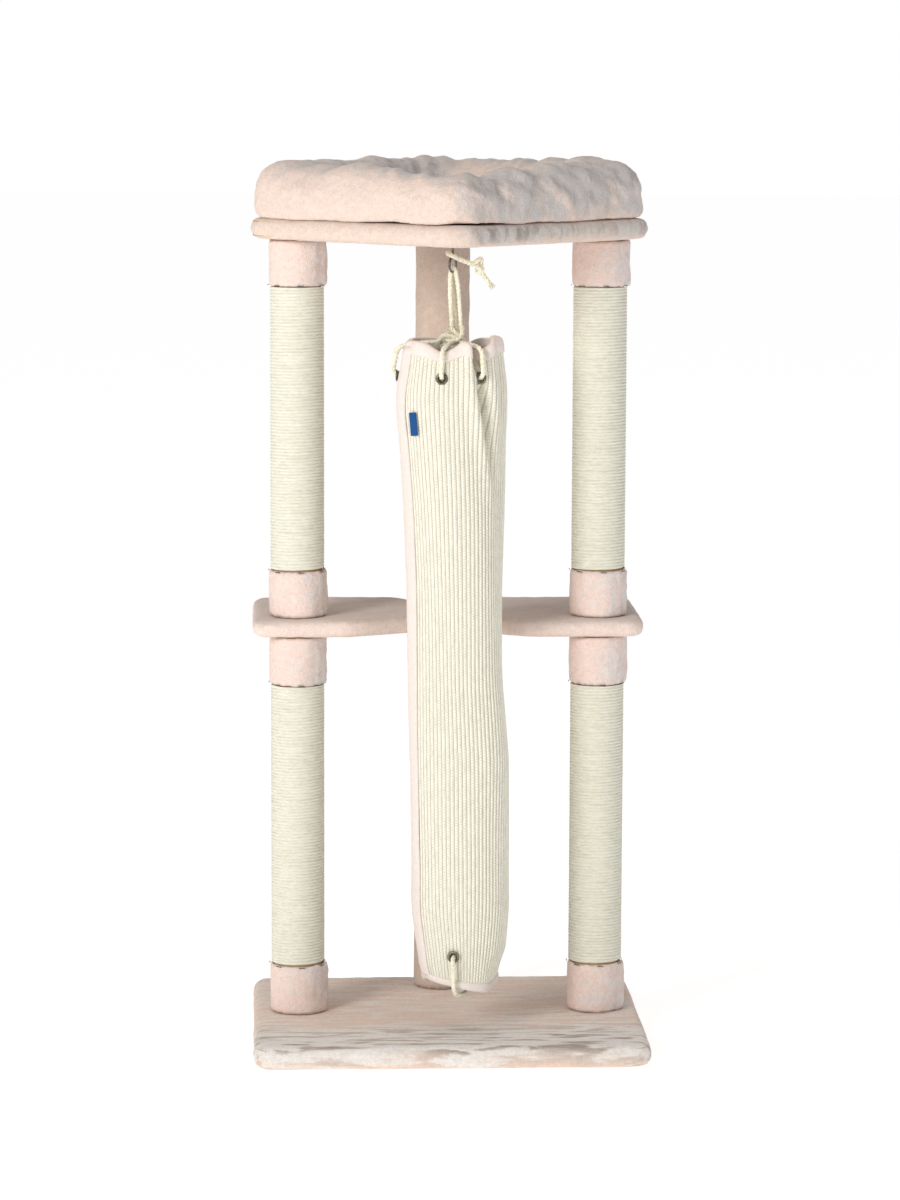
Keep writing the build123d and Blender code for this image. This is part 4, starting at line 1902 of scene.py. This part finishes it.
@dataclass
class TunnelShape:
    """The tunnel's surface: an upright tube with soft folds, gathered where ropes pull at its rims."""

    node: str = "tunnel_woven_mat"
    readings: int = 44
    # the deep fold beside the right front rope, turned with the line of its valley
    fold_valley: Crease = Crease(0, 6, -0.0180)
    fold_left_ridge: Crease = Crease(-12, 8, 0.0095)
    fold_right_ridge: Crease = Crease(18, 10, 0.0050)
    # shallow creases that stay where they are
    left_crease: Crease = Crease(-148, 7, -0.0030)
    right_crease: Crease = Crease(-24, 10, -0.0035)
    lower_tuck: Crease = Crease(-15, 28, -0.013)
    low: float = 0.0
    high: float = 0.0
    sections: list[tuple[float, float, float, float, float]] = field(default_factory=list)

    def measure(self) -> None:
        """Reads the tube's middle and half widths at many heights from the CAD node."""
        low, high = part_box(self.node)
        self.low = low.z
        self.high = high.z
        margin = 0.0006
        for index in range(self.readings + 1):
            height = self.low + margin + (self.high - self.low - 2 * margin) * index / self.readings
            points = [point for loop in section_loops(self.node, height) for point in loop]
            left, right = min(point.x for point in points), max(point.x for point in points)
            front, back = min(point.y for point in points), max(point.y for point in points)
            self.sections.append(
                (height, (left + right) / 2, (front + back) / 2, (right - left) / 2, (back - front) / 2)
            )

    def axis(self) -> Vector:
        """A point on the upright line through the tube's middle."""
        middle = self.sections[len(self.sections) // 2]
        return Vector((middle[1], middle[2], 0))

    def at(self, height: float) -> tuple[float, float, float, float]:
        """Middle X and Y, half width and half depth at a height.

        Args:
            height: The height, in metres.

        Returns:
            The four sizes.
        """
        share = (height - self.sections[0][0]) / (self.sections[-1][0] - self.sections[0][0]) * self.readings
        index = min(self.readings - 1, max(0, int(share)))
        mix = share - index
        below, above = self.sections[index], self.sections[index + 1]
        return tuple(b + (a - b) * mix for b, a in zip(below[1:], above[1:]))

    def on_tube(self, angle: float, height: float, proud: float, rise: float) -> Vector:
        """A point on the plain tube, moved outwards and up.

        Args:
            angle: Round the tube, in degrees.
            height: The height at which the tube is read.
            proud: How far the point stands out of the tube, in metres.
            rise: The point's own height.

        Returns:
            The point.
        """
        middle_x, middle_y, half_width, half_depth = self.at(height)
        turn = math.radians(angle)
        across = middle_x + (half_width + proud) * math.cos(turn)
        deep = middle_y + (half_depth + proud) * math.sin(turn)
        return Vector((across, deep, rise))

    def folds(self, angle: float, height: float) -> float:
        """How far the surface stands out of its plain tube, in metres.

        Args:
            angle: Round the tube, in degrees from +X.
            height: The height, in metres.

        Returns:
            The distance, below 0 in a valley.
        """
        below = self.high - height
        reach = smooth_step(below, 0.24, 0.02)
        at_eyelet = bump(below, 0.031, 0.012)
        rim_fold = smooth_step(below, 0.024, 0.0)
        lower_fold = smooth_step(below, 0.19, 0.05) * (1 - at_eyelet)
        valley = -60 + 170 * max(0.0, below - 0.03)
        out = self.fold_left_ridge.at(angle, valley) * reach
        out += self.fold_valley.at(angle, valley) * rim_fold
        out += self.fold_valley.at(angle, valley) * lower_fold
        out += self.fold_right_ridge.at(angle, valley) * reach
        out += self.left_crease.at(angle) * smooth_step(height, self.high - 0.09, self.high)
        out += self.right_crease.at(angle) * smooth_step(height, 0.52, 0.80)
        out += 0.0018 * math.sin(math.radians(angle * 3 + height * 500)) * smooth_step(height, 0.2, 0.4)
        near_bottom = smooth_step(height, self.low + 0.16, self.low)
        out += self.lower_tuck.at(angle) * smooth_step(height, self.low + 0.05, self.low)
        out += 0.0035 * math.sin(math.radians(angle * 2 + 70)) * near_bottom
        out += 0.0012 * noise.noise(Vector((math.cos(math.radians(angle)) * 2, height * 7, 3)))
        return out

    def rim_shift(self, angle: float, height: float) -> float:
        """How far a rim rises between the ropes that pull it down, in metres.

        Args:
            angle: Round the tube, in degrees.
            height: The height before the shift.

        Returns:
            The rise.
        """
        pulled = max(bump(turn_between(angle, rope), 0, 17) for rope in EYELET_ANGLES)
        rise = 0.0125 * (1 - pulled) + 0.005 * bump(turn_between(angle, -74), 0, 7)
        rise += 0.006 * bump(turn_between(angle, -22), 0, 16)
        rise *= smooth_step(height, self.high - 0.026, self.high)
        right_side = math.cos(math.radians(angle))
        front = smooth_step(math.sin(math.radians(angle)), 0.4, -0.4)
        drop = -0.0104 * right_side * front
        drop *= smooth_step(height, self.low + 0.03, self.low)
        return rise + drop

    def point(self, angle: float, height: float, proud: float = 0.0) -> Vector:
        """A point on the folded surface.

        Args:
            angle: Round the tube, in degrees.
            height: The height before its rims rise.
            proud: How far it stands out of the surface, in metres.

        Returns:
            The point.
        """
        inside = min(self.high, max(self.low, height))
        rise = height + self.rim_shift(angle, height)
        return self.on_tube(angle, inside, proud + self.folds(angle, height), rise)


@dataclass
class Tunnel:
    """The woven mat with its bindings, eyelets and plain label."""

    shape: TunnelShape
    ribs: int = 72
    faces_per_rib: int = 4
    rib_depth: float = 0.0012
    row_step: float = 0.0085
    mat_thickness: float = 0.003
    stitch_height: float = 0.0036
    eyelet_reach: float = 0.0052
    eyelet_drop: float = 0.031
    eyelet_lift: float = 0.042
    seam_angles: tuple[float, float] = (188.0, 213.0)

    def eyelet_places(self) -> list[tuple[float, float]]:
        """Angle and height of every eyelet."""
        top = [(angle, self.shape.high - self.eyelet_drop) for angle in EYELET_ANGLES]
        bottom = [(angle, self.shape.low + self.eyelet_lift) for angle in LOWER_EYELET_ANGLES]
        return top + bottom

    def row_shares(self) -> list[float]:
        """Heights of the mat's rows as shares, closer together beside the eyelets."""
        length = self.shape.high - self.shape.low
        count = round(length / self.row_step)
        heights = {round(index / count * length, 5) for index in range(count + 1)}
        for height in {place[1] for place in self.eyelet_places()}:
            middle = height - self.shape.low
            heights = {value for value in heights if abs(value - middle) > 0.0095}
            heights |= {round(middle + step * 0.0016, 5) for step in range(-5, 6)}
        return [height / length for height in sorted(heights)]

    def build_mat(self) -> Piece:
        """Builds the ribbed mat, open at its eyelets.

        Returns:
            The mat.
        """
        length = self.shape.high - self.shape.low
        start = self.seam_angles[0] + 8

        def place(across: float, along: float) -> Vector:
            """A point of the mat's outer face.

            Args:
                across: The share across the sheet, 0 to 1.
                along: The share up the sheet, 0 to 1.

            Returns:
                The point.
            """
            angle = start + 360 * across
            rib = abs(math.sin(math.pi * across * self.ribs)) ** 0.7
            proud = self.rib_depth * (rib - 1)
            return self.shape.point(angle, self.shape.low + along * length, proud)

        flat = (self.ribs, length / self.stitch_height)
        bm = wrapped_sheet(self.ribs * self.faces_per_rib, self.row_shares(), place, flat)
        bmesh.ops.remove_doubles(bm, verts=bm.verts, dist=0.00005)
        cut = set()
        for angle, height in self.eyelet_places():
            axis = self.shape.point(angle, height)
            for face in bm.faces:
                if (face.calc_center_median() - axis).length < self.eyelet_reach:
                    cut.add(face)
        bmesh.ops.delete(bm, geom=list(cut), context="FACES")
        thicken(bm, self.shape.axis(), self.mat_thickness)
        mat = to_object(bm, "tunnel_mat_ribs")
        return dress(mat, "woven_mat", TUNNEL_BODY, "woven_mat", "tunnel_woven_mat")

    def build_rim_binding(self, node: str, rim: float, inner: float) -> Piece:
        """Plush tape folded over one rim, outside and inside.

        Args:
            node: The CAD node that it stands for.
            rim: The height of the mat's rim.
            inner: The height of the tape's sewn edge.

        Returns:
            The binding.
        """
        outside, inside = 0.0018, -self.mat_thickness - 0.0022
        over = 0.0020 if rim > inner else -0.0020
        profile = [
            (outside - 0.0016, inner),
            (outside - 0.0003, inner + over * 0.4),
            (outside + 0.0004, inner + (rim - inner) * 0.35),
            (outside + 0.0006, inner + (rim - inner) * 0.7),
            (outside, rim),
            (outside * 0.2, rim + over * 0.8),
            ((outside + inside) / 2, rim + over),
            (inside - outside * 0.2, rim + over * 0.6),
            (inside, rim),
            (inside - 0.0003, inner + (rim - inner) * 0.5),
            (inside + 0.0008, inner),
        ]
        count = 200
        loops = []
        for proud, height in profile:
            loop = []
            for index in range(count):
                angle = index * 360 / count
                turn = math.radians(angle)
                stitch = 0.0005 * noise.noise(Vector((math.cos(turn) * 6, math.sin(turn) * 6, height * 60)))
                loop.append(self.shape.point(angle, height, proud + stitch))
            loops.append(loop)
        binding = to_object(bridged(loops, ring=True), f"{node}_tape")
        return dress(binding, "binding_suede", TUNNEL_BODY, "binding", node)

    def build_side_binding(self) -> Piece:
        """The upright tape over the mat's seam.

        Returns:
            The binding.
        """
        low = self.shape.low + 0.004
        high = self.shape.high - 0.004
        first, last = self.seam_angles

        def place(across: float, along: float) -> Vector:
            """A point of the tape's outer face.

            Args:
                across: The share across the sheet, 0 to 1.
                along: The share up the sheet, 0 to 1.

            Returns:
                The point.
            """
            height = low + along * (high - low)
            wave = 1.2 * noise.noise(Vector((height * 12, across * 2, 6)))
            angle = first + (last - first) * across + wave
            crown = 0.0017 * math.sin(math.pi * across) ** 0.4
            fluff = 0.0004 * noise.noise(Vector((across * 7, height * 90, 1)))
            return self.shape.point(angle, height, 0.0012 + crown + fluff)

        rows = [index / 150 for index in range(151)]
        bm = wrapped_sheet(14, rows, place)
        thicken(bm, self.shape.axis(), 0.0022)
        tape = to_object(bm, "tunnel_side_binding_tape")
        return dress(tape, "binding_suede", TUNNEL_BODY, "binding", "tunnel_side_binding")

    def build_eyelets(self) -> Piece:
        """Rolled metal eyelets, spun about their own axes.

        Returns:
            The eyelets.
        """
        bm = bmesh.new()
        bore, flange, roll = 0.0046, 0.0077, 0.0011
        half = self.mat_thickness / 2 + 0.0012
        profile = [
            (bore, 0.0),
            (bore, half - roll * 0.4),
            (bore + roll * 0.5, half + roll * 0.6),
            (bore + roll * 1.5, half + roll),
            (flange - roll * 0.6, half + roll * 0.6),
            (flange, half),
            (flange - roll * 0.4, half - roll * 0.5),
            (bore + roll * 0.9, half - roll * 0.7),
            (bore + roll * 0.9, 0.0),
        ]
        for angle, height in self.eyelet_places():
            here = self.shape.on_tube(angle, height, -self.mat_thickness / 2, height)
            along = self.shape.on_tube(angle, height, 0.01, height) - here
            across = self.shape.on_tube(angle + 1, height, 0, height)
            across -= self.shape.on_tube(angle - 1, height, 0, height)
            outward = across.cross(Vector((0, 0, 1))).normalized()
            if outward.dot(along) < 0:
                outward.negate()
            side = outward.cross(Vector((0, 0, 1))).normalized()
            mirrored = [(out, -up) for out, up in reversed(profile[1:-1])]
            verts = [bm.verts.new(here + side * out + outward * up) for out, up in profile + mirrored]
            edges = [bm.edges.new((verts[index - 1], verts[index])) for index in range(len(verts))]
            bmesh.ops.spin(
                bm,
                geom=verts + edges,
                cent=here,
                axis=outward,
                angle=2 * math.pi,
                steps=28,
                use_merge=True,
            )
        bmesh.ops.remove_doubles(bm, verts=bm.verts, dist=SAME_SEAM_PLACE)
        bmesh.ops.recalc_face_normals(bm, faces=bm.faces)
        eyelets = to_object(bm, "tunnel_eyelet_rings")
        return dress(eyelets, "eyelet_bronze", TUNNEL_BODY, "eyelet_metal", "tunnel_eyelets")

    def build_label(self) -> Piece:
        """The plain blue tab, its edges folded and its weave upright.

        Returns:
            The label.
        """
        node = "tunnel_plain_label"
        bm = bmesh.new()
        bm.from_mesh(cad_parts[node].data)
        bmesh.ops.remove_doubles(bm, verts=bm.verts, dist=SAME_PLACE)
        bmesh.ops.dissolve_limit(bm, angle_limit=math.radians(3), verts=bm.verts, edges=bm.edges)
        bmesh.ops.bevel(
            bm, geom=bm.edges[:], offset=0.0004, segments=2, profile=0.5, affect="EDGES", material=-1
        )
        thread = 0.0009
        layer = bm.loops.layers.uv.new(WEAVE_MAP)
        for face in bm.faces:
            for loop in face.loops:
                place = loop.vert.co
                loop[layer].uv = ((place.x - place.y * 0.6) / thread, place.z / thread)
        bmesh.ops.recalc_face_normals(bm, faces=bm.faces)
        label = to_object(bm, "tunnel_label_tab")
        return dress(label, "blue_label", TUNNEL_BODY, "blue_label", node)

    def build(self) -> None:
        """Builds the mat and everything on it."""
        mat = self.build_mat()
        top = self.build_rim_binding("tunnel_top_binding", self.shape.high, self.shape.high - 0.011)
        bottom = self.build_rim_binding("tunnel_bottom_binding", self.shape.low, self.shape.low + 0.009)
        parts = [top, bottom, self.build_side_binding(), self.build_eyelets(), self.build_label()]


# ---- metal and hidden pieces ----------------------------------------------------------------------
@dataclass
class Hardware:
    """The CAD nodes that stay as they are, with their own finishes."""

    endings: tuple[tuple[str, str], ...] = (
        ("_board", "particle_board"),
        ("_tube", "cardboard"),
        ("_plug", "turned_wood"),
        ("_bolts", "zinc_steel"),
        ("_washers", "zinc_steel"),
        ("_studs", "zinc_steel"),
        ("_inserts", "zinc_steel"),
        ("_screw", "zinc_steel"),
        ("_eye", "dark_steel"),
        ("_staples", "dark_steel"),
    )

    def build(self) -> None:
        """Gives each kept CAD node its material."""
        for name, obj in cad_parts.items():
            for ending, look in self.endings:
                if name.endswith(ending):
                    obj.data.materials.clear()
                    obj.data.materials.append(finish(look))
                    LOG.info("%s keeps its CAD shape in %s", name, look)


# ---- studio ---------------------------------------------------------------------------------------
@dataclass(frozen=True)
class SoftLight:
    """One large square light that faces the tree: its place, power in watts, side in metres and colour."""

    name: str
    place: Triple
    power: float
    size: float
    colour: Triple
    aim: Triple = (0, 0, 0.6)

    def build(self) -> None:
        """Adds the light."""
        data = bpy.data.lights.new(self.name, "AREA")
        data.energy = self.power
        data.shape = "SQUARE"
        data.size = self.size
        data.color = self.colour
        light = linked(self.name, data)
        light.location = self.place
        light.rotation_euler = (Vector(self.aim) - Vector(self.place)).to_track_quat("-Z", "Y").to_euler()


@dataclass
class Studio:
    """The pale floor, the soft lights and the camera."""

    camera_place: Triple = (-0.2364, -5.1411, 1.2693)
    lens: float = 121.62
    pitch_down: float = 0.1359
    turn_right: float = 0.0465
    roll: float = 0.0036
    floor_size: float = 60.0
    floor_glow: float = 0.5
    sky_light: float = 0.52
    lights: tuple[SoftLight, ...] = (
        SoftLight("key", (-2.6, -3.2, 2.1), 88, 1.3, (1.0, 0.985, 0.96)),
        SoftLight("fill", (2.6, -3.6, 1.4), 8, 2.0, (0.96, 0.98, 1.0)),
    )

    def build_camera(self) -> None:
        """Places the camera."""
        data = bpy.data.cameras.new("camera")
        data.lens = self.lens
        data.sensor_width = 36.0
        camera = linked("camera", data)
        aim = Euler((math.pi / 2 - self.pitch_down, 0, -self.turn_right)).to_matrix().to_4x4()
        camera.matrix_world = Matrix.Translation(self.camera_place) @ aim @ Matrix.Rotation(self.roll, 4, "Z")
        bpy.context.scene.camera = camera

    def build_floor(self) -> None:
        """Lays a plain pale floor."""
        bm = bmesh.new()
        bmesh.ops.create_grid(bm, x_segments=1, y_segments=1, size=self.floor_size / 2)
        floor = to_object(bm, "floor")
        material = bpy.data.materials.new("floor_paint")
        material.use_nodes = True
        shader = material.node_tree.nodes["Principled BSDF"]
        shader.inputs["Base Color"].default_value = (0.94, 0.94, 0.94, 1)
        shader.inputs["Emission Color"].default_value = (1, 1, 1, 1)
        shader.inputs["Emission Strength"].default_value = self.floor_glow
        shader.inputs["Roughness"].default_value = 1.0
        shader.inputs["Specular IOR Level"].default_value = 0.0
        floor.data.materials.append(material)

    def build_sky(self) -> None:
        """White surroundings that light the tree less than they show."""
        world = bpy.data.worlds.new("studio")
        bpy.context.scene.world = world
        world.use_nodes = True
        nodes = Nodes(world.node_tree)
        background = world.node_tree.nodes["Background"]
        seen = nodes.add("ShaderNodeLightPath").outputs["Is Camera Ray"]
        share = nodes.add("ShaderNodeMapRange", {"Value": seen, "To Min": self.sky_light, "To Max": 1.0})
        nodes.put(background.inputs["Strength"], share.outputs[0])
        background.inputs["Color"].default_value = (1, 1, 1, 1)

    def build(self) -> None:
        """Builds the whole studio."""
        self.build_camera()
        self.build_floor()
        self.build_sky()
        for light in self.lights:
            light.build()
        bpy.context.scene.view_settings.view_transform = "Standard"


def main() -> None:
    """Builds the tree's looks in order, and notes the sizes."""
    logging.basicConfig(level=logging.INFO, format="%(message)s")
    Studio().build()
    Ropes().build()
    shape = TunnelShape()
    shape.measure()
    Tunnel(shape).build()
    for board in BOARDS:
        board.build()
    bed = Bed()
    bed.build_bolster()
    bed.build_pad()
    Posts().build()
    Hardware().build()


if __name__ == "__main__":
    main()
